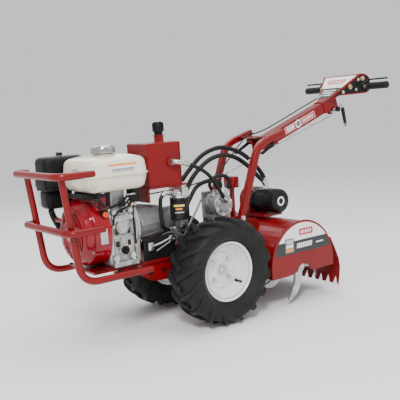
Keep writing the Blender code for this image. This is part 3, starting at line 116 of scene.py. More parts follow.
@dataclass(frozen=True)
class Finish:
    """A procedural finish: uneven colour, fine grain, worn or dirty edges and softened corners.

    Attributes:
        name: Name of the material.
        slot: The record's material slot that it belongs to.
        colour: Main colour.
        shade: Colour of the uneven patches.
        roughness: Lowest and highest roughness.
        metallic: Share of bare metal.
        grain: Grains per metre.
        relief: Depth of the grain in metres.
        mottle: Patches per metre.
        coat: Weight of the clear gloss over the colour.
        edge: Colour that shows along worn edges.
        wear: Share of the edge colour on an edge.
        rounding: Radius of the softened corners in metres.
        shine: Specular level of the surface itself.
    """

    name: str
    slot: str
    colour: Colour
    shade: Colour
    roughness: Spot
    metallic: float = 0.0
    grain: float = 600.0
    relief: float = 0.00005
    mottle: float = 9.0
    coat: float = 0.0
    edge: Colour = (0.3, 0.3, 0.3)
    wear: float = 0.0
    rounding: float = 0.0012
    shine: float = 0.5

    def material(self) -> bpy.types.Material:
        """Build the material once, or return the one already built.

        Returns:
            The material.
        """
        made = bpy.data.materials.get(self.name)
        if made:
            return made
        made = bpy.data.materials.new(self.name)
        made.use_nodes = True
        nodes, links = made.node_tree.nodes, made.node_tree.links
        shader = nodes["Principled BSDF"]
        shader.inputs["Metallic"].default_value = self.metallic
        shader.inputs["Coat Weight"].default_value = self.coat
        shader.inputs["Coat Roughness"].default_value = COAT_ROUGHNESS
        shader.inputs["Specular IOR Level"].default_value = self.shine
        spot = nodes.new("ShaderNodeTexCoord").outputs["Object"]

        patches = self._noise(nodes, links, spot, self.mottle, 4.0)
        tint = self._mix(nodes, self.shade)
        tint.inputs[6].default_value = (*self.colour, 1.0)
        spread = self._ramp(nodes, links, patches, (0.35, 0.75), (0.0, 1.0))
        links.new(spread, tint.inputs[0])
        colour = tint.outputs[2]

        grain = self._noise(nodes, links, spot, self.grain, 3.0)
        corner = nodes.new("ShaderNodeBevel")
        corner.samples = 4
        corner.inputs["Radius"].default_value = self.rounding
        bump = nodes.new("ShaderNodeBump")
        bump.inputs["Strength"].default_value = BUMP_STRENGTH
        bump.inputs["Distance"].default_value = self.relief
        links.new(grain, bump.inputs["Height"])
        links.new(corner.outputs["Normal"], bump.inputs["Normal"])
        links.new(bump.outputs["Normal"], shader.inputs["Normal"])

        if self.wear > 0.0:
            colour = self._worn_edges(nodes, links, colour, corner, patches)
        links.new(colour, shader.inputs["Base Color"])
        rough = self._ramp(nodes, links, patches, (0.3, 0.7), self.roughness)
        links.new(rough, shader.inputs["Roughness"])
        return made

    def _mix(self, nodes, second: Colour) -> bpy.types.Node:
        """Add a colour mix whose second colour is given, and return it."""
        mix = nodes.new("ShaderNodeMix")
        mix.data_type = "RGBA"
        mix.inputs[7].default_value = (*second, 1.0)
        return mix

    def _noise(self, nodes, links, place, scale: float, detail: float) -> bpy.types.NodeSocket:
        """Add a noise texture at a place socket and return its value socket."""
        noise = nodes.new("ShaderNodeTexNoise")
        noise.inputs["Scale"].default_value = scale
        noise.inputs["Detail"].default_value = detail
        links.new(place, noise.inputs["Vector"])
        return noise.outputs[0]

    def _ramp(self, nodes, links, value, span, target) -> bpy.types.NodeSocket:
        """Map a value from one span to another, clamped, and return the result socket."""
        ramp = nodes.new("ShaderNodeMapRange")
        ramp.inputs["From Min"].default_value = span[0]
        ramp.inputs["From Max"].default_value = span[1]
        ramp.inputs["To Min"].default_value = target[0]
        ramp.inputs["To Max"].default_value = target[1]
        links.new(value, ramp.inputs["Value"])
        return ramp.outputs["Result"]

    def _worn_edges(self, nodes, links, colour, corner, patches) -> bpy.types.NodeSocket:
        """Lay the edge colour where the softened normal leaves the flat one.

        Args:
            nodes: The material's nodes.
            links: The material's links.
            colour: Socket of the colour underneath.
            corner: The Bevel node.
            patches: Socket of the noise that breaks the wear up.

        Returns:
            Socket of the worn colour.
        """
        flat = nodes.new("ShaderNodeNewGeometry")
        turn = nodes.new("ShaderNodeVectorMath")
        turn.operation = "DOT_PRODUCT"
        links.new(corner.outputs["Normal"], turn.inputs[0])
        links.new(flat.outputs["True Normal"], turn.inputs[1])
        edge = self._ramp(nodes, links, turn.outputs["Value"], (0.97, 0.8), (0.0, self.wear))
        broken = nodes.new("ShaderNodeMath")
        broken.operation = "MULTIPLY"
        links.new(edge, broken.inputs[0])
        links.new(self._ramp(nodes, links, patches, (0.35, 0.6), (0.2, 1.0)), broken.inputs[1])
        worn = self._mix(nodes, self.edge)
        links.new(broken.outputs["Value"], worn.inputs[0])
        links.new(colour, worn.inputs[6])
        return worn.outputs[2]


POWDER_COAT = Finish("powder_coat_red", "red_paint", (0.2, 0.0028, 0.004), (0.165, 0.0023, 0.0033),
    (0.28, 0.4), coat=0.2, grain=260.0, relief=0.00012, edge=(0.3, 0.01, 0.008), wear=0.35, shine=0.22)
DECAL_RED = Finish("decal_red", "red_paint", (0.52, 0.014, 0.012), (0.48, 0.012, 0.012), (0.3, 0.4),
    coat=0.3)
DECAL_WHITE = Finish("decal_white", "red_paint", (0.86, 0.86, 0.85), (0.8, 0.8, 0.8), (0.3, 0.4), coat=0.3)
DECAL_GREY = Finish("decal_grey", "red_paint", (0.16, 0.16, 0.17), (0.13, 0.13, 0.14), (0.3, 0.4))
DECAL_DARK = Finish("decal_charcoal", "red_paint", (0.018, 0.018, 0.019), (0.024, 0.024, 0.025),
    (0.35, 0.45))
DECAL_ORANGE = Finish("decal_orange", "ivory_paint", (0.9, 0.3, 0.03), (0.86, 0.27, 0.03), (0.3, 0.4),
    coat=0.3)
DECAL_YELLOW = Finish("decal_yellow", "black_paint", (0.85, 0.6, 0.1), (0.8, 0.55, 0.1), (0.3, 0.4),
    coat=0.3)
DECAL_SILVER = Finish("decal_silver", "fan_red", (0.62, 0.62, 0.63), (0.55, 0.55, 0.56), (0.25, 0.35),
    metallic=0.7)
FAN_PAINT = Finish("fan_cover_crimson", "fan_red", (0.26, 0.0006, 0.009), (0.21, 0.0006, 0.007),
    (0.14, 0.24), coat=0.35, grain=160.0, relief=0.00008, edge=(0.5, 0.05, 0.05), wear=0.3, shine=0.3)
SWITCH_PAINT = Finish("switch_orange_red", "fan_red", (0.75, 0.06, 0.01), (0.7, 0.05, 0.01), (0.3, 0.4))
TANK_PAINT = Finish("tank_ivory", "ivory_paint", (0.8, 0.755, 0.6), (0.76, 0.71, 0.56), (0.14, 0.22),
    coat=0.8, grain=90.0, relief=0.00006, rounding=0.002)
CAST_METAL = Finish("engine_casting", "cast_aluminium", (0.56, 0.56, 0.55), (0.26, 0.26, 0.255),
    (0.3, 0.48), metallic=0.92, grain=900.0, relief=0.00025, mottle=24.0, edge=(0.75, 0.75, 0.73), wear=0.7)
GREY_METAL = Finish("pump_grey", "cast_aluminium", (0.33, 0.335, 0.34), (0.17, 0.17, 0.175), (0.4, 0.55),
    metallic=0.6, grain=800.0, relief=0.0002, mottle=20.0, edge=(0.55, 0.55, 0.55), wear=0.6)
ZINC = Finish("bright_zinc", "bright_steel", (0.66, 0.66, 0.65), (0.52, 0.52, 0.5), (0.22, 0.36),
    metallic=1.0, grain=500.0, relief=0.00006, mottle=30.0, edge=(0.85, 0.85, 0.85), wear=0.5)
GOLD_ZINC = Finish("gold_zinc", "bright_steel", (0.7, 0.55, 0.3), (0.56, 0.44, 0.28), (0.25, 0.4),
    metallic=1.0, grain=500.0, relief=0.00006, mottle=40.0)
TINE_STEEL = Finish("tine_steel", "bright_steel", (0.55, 0.56, 0.58), (0.42, 0.42, 0.43), (0.26, 0.42),
    metallic=0.95, grain=320.0, relief=0.0001, mottle=26.0, edge=(0.8, 0.8, 0.8), wear=0.6)
CHROME = Finish("cap_chrome", "chrome_cap", (0.66, 0.66, 0.67), (0.4, 0.4, 0.41), (0.06, 0.14),
    metallic=1.0, grain=200.0, relief=0.00002)
BLACK_PAINT = Finish("black_enamel", "black_paint", (0.006, 0.006, 0.0065), (0.011, 0.011, 0.0115),
    (0.24, 0.38), coat=0.12, grain=420.0, relief=0.00008, edge=(0.05, 0.05, 0.05), wear=0.3, shine=0.2)
MUFFLER_STEEL = Finish("muffler_dark", "black_paint", (0.05, 0.048, 0.045), (0.09, 0.075, 0.06),
    (0.45, 0.65), metallic=0.6, grain=500.0, relief=0.0001, mottle=30.0)
BLACK_PLASTIC = Finish("black_moulding", "black_plastic", (0.006, 0.006, 0.0065), (0.01, 0.01, 0.0105),
    (0.36, 0.5), grain=1500.0, relief=0.00005, edge=(0.05, 0.05, 0.05), wear=0.3, shine=0.18)
HOSE_RUBBER = Finish("hose_jacket", "hose_rubber", (0.007, 0.007, 0.007), (0.012, 0.012, 0.012),
    (0.34, 0.48), grain=1400.0, relief=0.00008, shine=0.25)
GRIP_RUBBER = Finish("grip_cover", "grip_rubber", (0.008, 0.008, 0.008), (0.013, 0.013, 0.013), (0.45, 0.6),
    grain=1600.0, relief=0.0001, shine=0.2)
TYRE_RUBBER = Finish("tyre_compound", "tyre_rubber", (0.0085, 0.0085, 0.0085), (0.016, 0.0155, 0.015),
    (0.5, 0.7), grain=900.0, relief=0.00015, mottle=16.0, edge=(0.045, 0.044, 0.042), wear=0.4,
    rounding=0.0018, shine=0.22)
RIM_WHITE = Finish("rim_white", "white_paint", (0.83, 0.83, 0.82), (0.76, 0.76, 0.75), (0.22, 0.34),
    coat=0.5, grain=220.0, relief=0.00006, mottle=14.0)
FLOOR_PALE = Finish("studio_floor", "white_paint", (0.96, 0.96, 0.96), (0.95, 0.95, 0.95), (0.75, 0.85),
    grain=60.0, relief=0.00002)

CARRIED: dict[Finish, tuple[str, ...]] = {POWDER_COAT: ("chassis", "engine_deck", "guard_tube_left",
    "guard_tube_right", "guard_rail_upper", "guard_rail_lower", "reservoir", "chain_case", "hood_drum",
    "hood_side_left", "hood_side_right", "rear_flap", "handle_upright_left", "handle_upright_right",
    "cross_plate", "boom", "console"), FAN_PAINT: ("fan_cover", "recoil_housing"),
    SWITCH_PAINT: ("engine_switch",), TANK_PAINT: ("fuel_tank",), CAST_METAL: ("engine_block",
    "cylinder_head", "crankcase_cover", "filter_head"),
    GREY_METAL: ("bell_housing", "hydraulic_pump", "wheel_motor"), ZINC: ("crankshaft", "motor_sprocket",
    "drive_chain", "axle_shaft", "handlebar", "control_lever", "control_rod"),
    TINE_STEEL: ("tine_shaft", "tine_set_left", "tine_set_right"), CHROME: ("fuel_cap",),
    BLACK_PAINT: ("oil_filter", "tine_motor", "safety_bail", "flywheel_fan"), MUFFLER_STEEL: ("muffler",),
    BLACK_PLASTIC: ("air_cleaner_cover", "intake_body", "air_cleaner_knob", "breather_cap"),
    HOSE_RUBBER: ("return_hose", "suction_hose", "tine_hose_upper", "tine_hose_lower", "throttle_cable"),
    GRIP_RUBBER: ("grip_left", "grip_right", "starter_grip"), TYRE_RUBBER: ("tyre_left", "tyre_right"),
    RIM_WHITE: ("wheel_rim_left", "wheel_rim_right"),}


# ---------------------------------------------------------------- shapes


def arc(centre: Spot, radius: float, start: float, end: float, steps: int) -> list[Spot]:
    """Points on a circular arc.

    Args:
        centre: Middle of the circle.
        radius: Its radius.
        start: First angle in degrees.
        end: Last angle in degrees.
        steps: Spans between the first and the last point.

    Returns:
        The points, both ends included.
    """
    turns = (math.radians(start + (end - start) * i / steps) for i in range(steps + 1))
    return [(centre[0] + radius * math.cos(t), centre[1] + radius * math.sin(t)) for t in turns]


def rounded_box_outline(low: Spot, high: Spot, radius: float, steps: int = 6) -> list[Spot]:
    """A rectangle with round corners, anticlockwise.

    Args:
        low: Lower left corner.
        high: Upper right corner.
        radius: Corner radius.
        steps: Spans in each corner.

    Returns:
        The outline.
    """
    inner = ((high[0] - radius, high[1] - radius), (low[0] + radius, high[1] - radius),
        (low[0] + radius, low[1] + radius), (high[0] - radius, low[1] + radius))
    return [spot for k, middle in enumerate(inner)
        for spot in arc(middle, radius, 90 * k, 90 * k + 90, steps)]


def filleted(corners: list[Point], radius: float, steps: int = 8) -> list[Vector]:
    """A route through straight runs with round bends.

    Args:
        corners: Its corners in order.
        radius: Bend radius along the run, cut short on a short run.
        steps: Spans in each bend.

    Returns:
        The points of the route.
    """
    spots = [Vector(c) for c in corners]
    route = [spots[0]]
    for before, corner, after in zip(spots, spots[1:], spots[2:]):
        back, ahead = before - corner, after - corner
        reach = min(radius, back.length * 0.48, ahead.length * 0.48)
        first, last = corner + back.normalized() * reach, corner + ahead.normalized() * reach
        for i in range(steps + 1):
            t = i / steps
            route.append(first * (1 - t) ** 2 + corner * 2 * t * (1 - t) + last * t ** 2)
    return [*route, spots[-1]]


def flowing(points: list[Point], spans: int = 6) -> list[Vector]:
    """A smooth route through every given point.

    Args:
        points: The points it passes.
        spans: Spans between two of them.

    Returns:
        The points of the route.
    """
    spots = [Vector(p) for p in points]
    ends = [spots[0] * 2 - spots[1], *spots, spots[-1] * 2 - spots[-2]]
    route = []
    for a, b, c, d in zip(ends, ends[1:], ends[2:], ends[3:]):
        for i in range(spans):
            t = i / spans
            square = 2 * a - 5 * b + 4 * c - d
            cubic = 3 * b - a - 3 * c + d
            route.append(0.5 * (2 * b + (c - a) * t + square * t * t + cubic * t ** 3))
    return [*route, spots[-1]]


class Shape:
    """A mesh under construction: solids are added to it, and then it is handed over as one piece."""

    def __init__(self, name: str) -> None:
        """Start an empty mesh.

        Args:
            name: Name of the finished piece.
        """
        self.name = name
        self.bm = bmesh.new()

    def skin(self, rings: list[list[bmesh.types.BMVert]], ends: bool) -> None:
        """Join neighbouring rings of vertices with faces.

        Args:
            rings: Rings of one size, or single vertices for a point.
            ends: Whether the first and the last ring are closed with a face.
        """
        for first, second in zip(rings, rings[1:]):
            count = max(len(first), len(second))
            if count == 1:
                continue
            for k in range(count):
                m = (k + 1) % count
                corners = [first[k % len(first)], first[m % len(first)], second[m % len(second)],
                    second[k % len(second)]]
                self.bm.faces.new(list(dict.fromkeys(corners)))
        if ends:
            self.bm.faces.new(rings[0][::-1])
            self.bm.faces.new(rings[-1])

    def slab(self, outline: list[Spot], axis: Axis, low: float, high: float, bevel: float = 0.0,
            steps: int = 2) -> "Shape":
        """Add an outline pushed along an axis.

        Args:
            outline: Points on the two axes that follow the given one.
            axis: Axis it is pushed along.
            low: Start along the axis.
            high: End along the axis.
            bevel: Radius of its rounded rims.
            steps: Spans in that rounding.

        Returns:
            This shape.
        """
        piece = bmesh.new()
        rings = [[piece.verts.new(axis.spread(a, *spot)) for spot in outline] for a in (low, high)]
        rims = [piece.faces.new(rings[0][::-1]), piece.faces.new(rings[1])]
        for k in range(len(outline)):
            m = (k + 1) % len(outline)
            piece.faces.new((rings[0][k], rings[0][m], rings[1][m], rings[1][k]))
        if bevel > 0.0:
            edges = list({edge for face in rims for edge in face.edges})
            bmesh.ops.bevel(piece, geom=edges, offset=bevel, segments=steps, profile=0.5, affect="EDGES")
        return self._absorb(piece)

    def block(self, low: Point, high: Point, bevel: float = 0.0, steps: int = 2) -> "Shape":
        """Add a box with rounded edges.

        Args:
            low: Lowest corner.
            high: Highest corner.
            bevel: Radius of its edges.
            steps: Spans in that rounding.

        Returns:
            This shape.
        """
        piece = bmesh.new()
        bmesh.ops.create_cube(piece, size=1.0)
        span = Vector(high) - Vector(low)
        middle = (Vector(high) + Vector(low)) / 2
        for vertex in piece.verts:
            vertex.co = Vector(c * s for c, s in zip(vertex.co, span)) + middle
        if bevel > 0.0:
            bmesh.ops.bevel(piece, geom=piece.edges[:], offset=bevel, segments=steps, profile=0.5,
                affect="EDGES")
        return self._absorb(piece)

    def turned(self, profile: list[Spot], axis: Axis, centre: Point, steps: int = 48,
            closed: bool = False) -> "Shape":
        """Add a profile turned about an axis.

        Args:
            profile: Points as distance along the axis and radius, from one end to the other.
            axis: Axis that it is turned about.
            centre: A point on that axis.
            steps: Faces round it.
            closed: Whether the profile runs back to its first point, as a ring's does.

        Returns:
            This shape.
        """
        rings = []
        for along, radius in profile:
            if radius < 1e-7:
                rings.append([self.bm.verts.new(Vector(centre) + axis.spread(along, 0.0, 0.0))])
                continue
            turns = (2 * math.pi * i / steps for i in range(steps))
            spots = [axis.spread(along, radius * math.cos(t), radius * math.sin(t)) for t in turns]
            rings.append([self.bm.verts.new(Vector(centre) + spot) for spot in spots])
        if closed:
            self.skin([*rings, rings[0]], False)
        else:
            self.skin(rings, len(rings[0]) > 1 and len(rings[-1]) > 1)
        return self

    def pipe(self, route: list[Vector], radius: float, sides: int = 20, dome: float = 0.0) -> "Shape":
        """Add a round bar or tube along a route.

        Args:
            route: Points along its middle.
            radius: Its radius.
            sides: Faces round it.
            dome: Length of the rounding at each end.

        Returns:
            This shape.
        """
        heading = (route[1] - route[0]).normalized()
        side = heading.orthogonal().normalized()
        rings = []
        for i, spot in enumerate(route):
            ahead = route[min(i + 1, len(route) - 1)] - route[max(i - 1, 0)]
            turn = heading.rotation_difference(ahead.normalized())
            side = (turn @ side).normalized()
            heading = ahead.normalized()
            other = heading.cross(side)
            at_end = dome if i in (0, len(route) - 1) else 0.0
            turns = (2 * math.pi * k / sides for k in range(sides))
            spokes = [side * math.cos(t) + other * math.sin(t) for t in turns]
            rings.append([self.bm.verts.new(spot + spoke * (radius - at_end)) for spoke in spokes])
        self.skin(rings, True)
        return self

    def turn(self, degrees: float, axis: Axis, centre: Point) -> "Shape":
        """Turn everything added so far about an axis through a point, and return this shape."""
        spin = Matrix.Rotation(math.radians(degrees), 4, axis.name)
        place = Matrix.Translation(centre) @ spin @ Matrix.Translation(-Vector(centre))
        bmesh.ops.transform(self.bm, matrix=place, verts=self.bm.verts[:])
        return self

    def _absorb(self, piece: bmesh.types.BMesh) -> "Shape":
        """Copy another mesh into this one, free it, and return this shape."""
        spare = bpy.data.meshes.new("spare")
        piece.to_mesh(spare)
        piece.free()
        self.bm.from_mesh(spare)
        bpy.data.meshes.remove(spare)
        return self

    def loose(self) -> bpy.types.Object:
        """Turn the mesh into an object in the layout's own place, before any modifier.

        Returns:
            The object.
        """
        bmesh.ops.recalc_face_normals(self.bm, faces=self.bm.faces[:])
        data = bpy.data.meshes.new(self.name)
        self.bm.to_mesh(data)
        self.bm.free()
        made = bpy.data.objects.new(self.name, data)
        bpy.context.scene.collection.objects.link(made)
        return made

    def bar(self, start: Point | Vector, end: Point | Vector, radius: float, sides: int = 20,
            dome: float = 0.0) -> "Shape":
        """Add a straight round bar from one point to another, and return this shape."""
        return self.pipe([Vector(start), Vector(end)], radius, sides, dome)

    def hand_over(self, finish: Finish, body: Body, replaces: tuple[str, ...] = (),
            smooth_angle: float = 35.0) -> bpy.types.Object:
        """Finish the piece and put it on its body.

        Args:
            finish: Its finish.
            body: Body that it rides on.
            replaces: Nodes of the frame that it stands for.
            smooth_angle: Edges flatter than this are shaded smooth, in degrees.

        Returns:
            The finished piece.
        """
        return dress(self.loose(), finish, body, replaces, smooth_angle)


def rounded(host: bpy.types.Object, radius: float) -> None:
    """Round the sharp edges of a loose piece with one flat."""
    rounding = host.modifiers.new("rounding", "BEVEL")
    rounding.width = radius
    rounding.segments = 1


def apply_modifiers(made: bpy.types.Object) -> None:
    """Replace the object's mesh with what its modifiers make of it."""
    graph = bpy.context.evaluated_depsgraph_get()
    plain = bpy.data.meshes.new_from_object(made.evaluated_get(graph))
    made.modifiers.clear()
    made.data = plain


def dress(made: bpy.types.Object, finish: Finish, body: Body, replaces: tuple[str, ...] = (),
        smooth_angle: float = 35.0) -> bpy.types.Object:
    """Apply modifiers, shift the piece to the frame, give it its finish and put it on its body.

    Args:
        made: The piece in the layout's place.
        finish: Its finish.
        body: Body that it rides on.
        replaces: Nodes of the frame that it stands for.
        smooth_angle: Edges flatter than this are shaded smooth, in degrees.

    Returns:
        The finished piece.
    """
    made.data.materials.clear()
    made.data.materials.append(finish.material())
    if made.modifiers:
        apply_modifiers(made)
    made.data.transform(Matrix.Translation((0.0, AXLE_Y, 0.0)))
    made.data.shade_smooth()
    made.data.set_sharp_from_angle(angle=math.radians(smooth_angle))
    if replaces:
        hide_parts(*replaces)
    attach(made, body.value)
    log.info("%s rides on %s, %d faces", made.name, body.value, len(made.data.polygons))
    return made


# ---------------------------------------------------------------- repeated pieces


class Tree:
    """A Geometry Nodes tree with named inputs, ended by Realize Instances and Set Material."""

    def __init__(self, name: str) -> None:
        """Start a tree whose group input carries a geometry and a material.

        Args:
            name: Name of the tree.
        """
        self.group = bpy.data.node_groups.new(name, "GeometryNodeTree")
        self.sockets: dict[str, str] = {}
        self._add_input("Geometry", "NodeSocketGeometry")
        self._add_input("Finish", "NodeSocketMaterial")
        self.group.interface.new_socket(name="Geometry", in_out="OUTPUT", socket_type="NodeSocketGeometry")
        self.source = self.group.nodes.new("NodeGroupInput")
        self.sink = self.group.nodes.new("NodeGroupOutput")

    def _add_input(self, name: str, kind: str) -> None:
        """Add a named input and remember its identifier."""
        made = self.group.interface.new_socket(name=name, in_out="INPUT", socket_type=kind)
        self.sockets[name] = made.identifier

    def size(self, name: str) -> None:
        """Add a named length."""
        self._add_input(name, "NodeSocketFloat")

    def count(self, name: str) -> None:
        """Add a named whole number."""
        self._add_input(name, "NodeSocketInt")

    def vector(self, name: str) -> None:
        """Add a named vector."""
        self._add_input(name, "NodeSocketVector")

    def node(self, kind: str, links: dict[str, bpy.types.NodeSocket] | None = None,
            **settings) -> bpy.types.Node:
        """Add a node, set its properties and link its inputs.

        Args:
            kind: Type of the node.
            links: Input name to the socket that feeds it.
            **settings: Properties of the node.

        Returns:
            The node.
        """
        made = self.group.nodes.new(kind)
        for key, value in settings.items():
            setattr(made, key, value)
        for name, socket in (links or {}).items():
            self.group.links.new(socket, made.inputs[name])
        return made

    def scaled(self, socket: bpy.types.NodeSocket, factor: float) -> bpy.types.Node:
        """Add a node that multiplies a value, and return it."""
        made = self.node("ShaderNodeMath", {}, operation="MULTIPLY")
        self.group.links.new(socket, made.inputs[0])
        made.inputs[1].default_value = factor
        return made

    def given(self, name: str) -> bpy.types.NodeSocket:
        """The socket that carries a named input."""
        return self.source.outputs[name]

    def finish_with(self, instances: bpy.types.NodeSocket) -> None:
        """Realise the instances, set the material and send them out."""
        real = self.node("GeometryNodeRealizeInstances", {"Geometry": instances})
        last = self.node("GeometryNodeSetMaterial",
            {"Geometry": real.outputs[0], "Material": self.given("Finish")})
        self.group.links.new(last.outputs[0], self.sink.inputs[0])

    def grow(self, host: bpy.types.Object, finish: Finish, body: Body, replaces: tuple[str, ...] = (),
            **values) -> bpy.types.Object:
        """Run the tree on a host and hand the plain mesh over.

        Args:
            host: Object whose mesh the tree starts from.
            finish: Finish of the result.
            body: Body that it rides on.
            replaces: Nodes of the frame that it stands for.
            **values: The named inputs, with spaces written as underscores.

        Returns:
            The finished piece.
        """
        growth = host.modifiers.new("growth", "NODES")
        growth.node_group = self.group
        growth[self.sockets["Finish"]] = finish.material()
        for name, value in values.items():
            growth[self.sockets[name.replace("_", " ")]] = value
        return dress(host, finish, body, replaces)


WASHER_SPREAD = 1.5
WASHER_SHARE = 0.4
HEAD_SHARE = 0.75


def bolt_tree() -> Tree:
    """A hex head on a round washer at every point, facing along the point's "facing"."""
    tree = Tree("bolt_heads")
    tree.size("Head Radius")
    tree.size("Head Height")
    head = tree.node("GeometryNodeMeshCylinder", {"Radius": tree.given("Head Radius"),
        "Depth": tree.given("Head Height")})
    head.inputs["Vertices"].default_value = 6
    wide = tree.scaled(tree.given("Head Radius"), WASHER_SPREAD)
    thin = tree.scaled(tree.given("Head Height"), WASHER_SHARE)
    washer = tree.node("GeometryNodeMeshCylinder", {"Radius": wide.outputs[0], "Depth": thin.outputs[0]})
    washer.inputs["Vertices"].default_value = 20
    lift = tree.node("ShaderNodeCombineXYZ", {"Z": thin.outputs[0]})
    raised = tree.node("GeometryNodeTransform",
        {"Geometry": head.outputs[0], "Translation": lift.outputs[0]})
    both = tree.node("GeometryNodeJoinGeometry")
    tree.group.links.new(raised.outputs[0], both.inputs[0])
    tree.group.links.new(washer.outputs[0], both.inputs[0])
    facing = tree.node("GeometryNodeInputNamedAttribute", data_type="FLOAT_VECTOR")
    facing.inputs["Name"].default_value = "facing"
    turned = tree.node("FunctionNodeAlignRotationToVector", {"Vector": facing.outputs["Attribute"]},
        axis="Z")
    placed = tree.node("GeometryNodeInstanceOnPoints", {"Points": tree.given("Geometry"),
        "Instance": both.outputs[0], "Rotation": turned.outputs[0]})
    tree.finish_with(placed.outputs[0])
    return tree


def ring_tree() -> Tree:
    """Copies of the host's mesh, evenly turned about an axis through a centre."""
    tree = Tree("ring_of_copies")
    tree.count("Count")
    tree.vector("Axis")
    tree.vector("Centre")
    tree.size("Start")
    line = tree.node("GeometryNodeMeshLine", {"Count": tree.given("Count")}, mode="OFFSET")
    line.inputs["Offset"].default_value = (0.0, 0.0, 0.0)
    back = tree.node("ShaderNodeVectorMath", {}, operation="SCALE")
    tree.group.links.new(tree.given("Centre"), back.inputs[0])
    back.inputs["Scale"].default_value = -1.0
    centred = tree.node("GeometryNodeTransform", {"Geometry": tree.given("Geometry"),
        "Translation": back.outputs[0]})
    index = tree.node("GeometryNodeInputIndex")
    step = tree.node("ShaderNodeMath", {}, operation="DIVIDE")
    step.inputs[0].default_value = 2 * math.pi
    tree.group.links.new(tree.given("Count"), step.inputs[1])
    angle = tree.node("ShaderNodeMath", {}, operation="MULTIPLY_ADD")
    for n, socket in enumerate((index.outputs[0], step.outputs[0], tree.given("Start"))):
        tree.group.links.new(socket, angle.inputs[n])
    spin = tree.node("FunctionNodeAxisAngleToRotation",
        {"Axis": tree.given("Axis"), "Angle": angle.outputs[0]})
    copies = tree.node("GeometryNodeInstanceOnPoints", {"Points": line.outputs[0],
        "Instance": centred.outputs[0], "Rotation": spin.outputs[0]})
    home = tree.node("GeometryNodeTransform", {"Geometry": copies.outputs[0],
        "Translation": tree.given("Centre")})
    tree.finish_with(home.outputs[0])
    return tree


def row_tree() -> Tree:
    """Copies of the host's mesh in a straight row."""
    tree = Tree("row_of_copies")
    tree.count("Count")
    tree.vector("Step")
    line = tree.node("GeometryNodeMeshLine", {"Count": tree.given("Count"), "Offset": tree.given("Step")},
        mode="OFFSET")
    copies = tree.node("GeometryNodeInstanceOnPoints",
        {"Points": line.outputs[0], "Instance": tree.given("Geometry")})
    tree.finish_with(copies.outputs[0])
    return tree


def link_tree() -> Tree:
    """Plain links spaced along the host's closed line, each turned along it."""
    tree = Tree("chain_links")
    tree.count("Count")
    tree.size("Link Length")
    tree.size("Link Width")
    tree.size("Link Height")
    curve = tree.node("GeometryNodeMeshToCurve", {"Mesh": tree.given("Geometry")})
    even = tree.node("GeometryNodeResampleCurve", {"Curve": curve.outputs[0], "Count": tree.given("Count")})
    along = tree.node("GeometryNodeInputTangent")
    turned = tree.node("FunctionNodeAlignRotationToVector", {"Vector": along.outputs[0]}, axis="Y")
    size = tree.node("ShaderNodeCombineXYZ", {"X": tree.given("Link Width"), "Y": tree.given("Link Length"),
        "Z": tree.given("Link Height")})
    link = tree.node("GeometryNodeMeshCube", {"Size": size.outputs[0]})
    links = tree.node("GeometryNodeInstanceOnPoints", {"Points": even.outputs[0],
        "Instance": link.outputs[0], "Rotation": turned.outputs[0]})
    tree.finish_with(links.outputs[0])
    return tree


BOLTS = bolt_tree()
RING = ring_tree()
ROW = row_tree()
LINKS = link_tree()


def round_places(axis: Axis, along: float, centre: Spot, radius: float, degrees: list[float],
        facing: float = 1.0) -> Places:
    """Places evenly or unevenly spread on a circle round an axis, for bolt heads.

    Args:
        axis: Axis that the circle goes round.
        along: Distance of the circle along it.
        centre: Middle of the circle on X and Z for the Y axis, and on Y and Z for the X axis.
        radius: Radius of the circle.
        degrees: Where each place is on the circle.
        facing: 1 or -1, the way that the heads face along the axis.

    Returns:
        Each place with its direction.
    """
    places = []
    for turn in map(math.radians, degrees):
        first, second = centre[0] + math.cos(turn) * radius, centre[1] + math.sin(turn) * radius
        if axis is Axis.X:
            places.append(((along, first, second), (facing, 0.0, 0.0)))
        else:
            places.append(((first, along, second), (0.0, facing, 0.0)))
    return places


def side_places(across: float, spots: list[Spot]) -> Places:
    """The same places on both sides of the machine, each facing outwards, for bolt heads."""
    return [((side * across, y, z), (float(side), 0.0, 0.0)) for side in (1, -1) for y, z in spots]


def top_places(spots: list[tuple[float, float, float]]) -> Places:
    """Places that face upwards, for bolt heads."""
    return [(spot, (0.0, 0.0, 1.0)) for spot in spots]


def bolt_heads(name: str, places: Places, radius: float, finish: Finish, body: Body) -> bpy.types.Object:
    """Put a bolt head at each place.

    Args:
        name: Name of the piece.
        places: Where each head sits, and the direction that it faces.
        radius: Radius across its corners.
        finish: Its finish.
        body: Body that it rides on.

    Returns:
        The finished piece.
    """
    data = bpy.data.meshes.new(name)
    data.from_pydata([spot for spot, _ in places], [], [])
    facing = data.attributes.new("facing", "FLOAT_VECTOR", "POINT")
    facing.data.foreach_set("vector", [c for _, way in places for c in way])
    host = bpy.data.objects.new(name, data)
    bpy.context.scene.collection.objects.link(host)
    return BOLTS.grow(host, finish, body, Head_Radius=radius, Head_Height=radius * HEAD_SHARE)


# ---------------------------------------------------------------- wheels


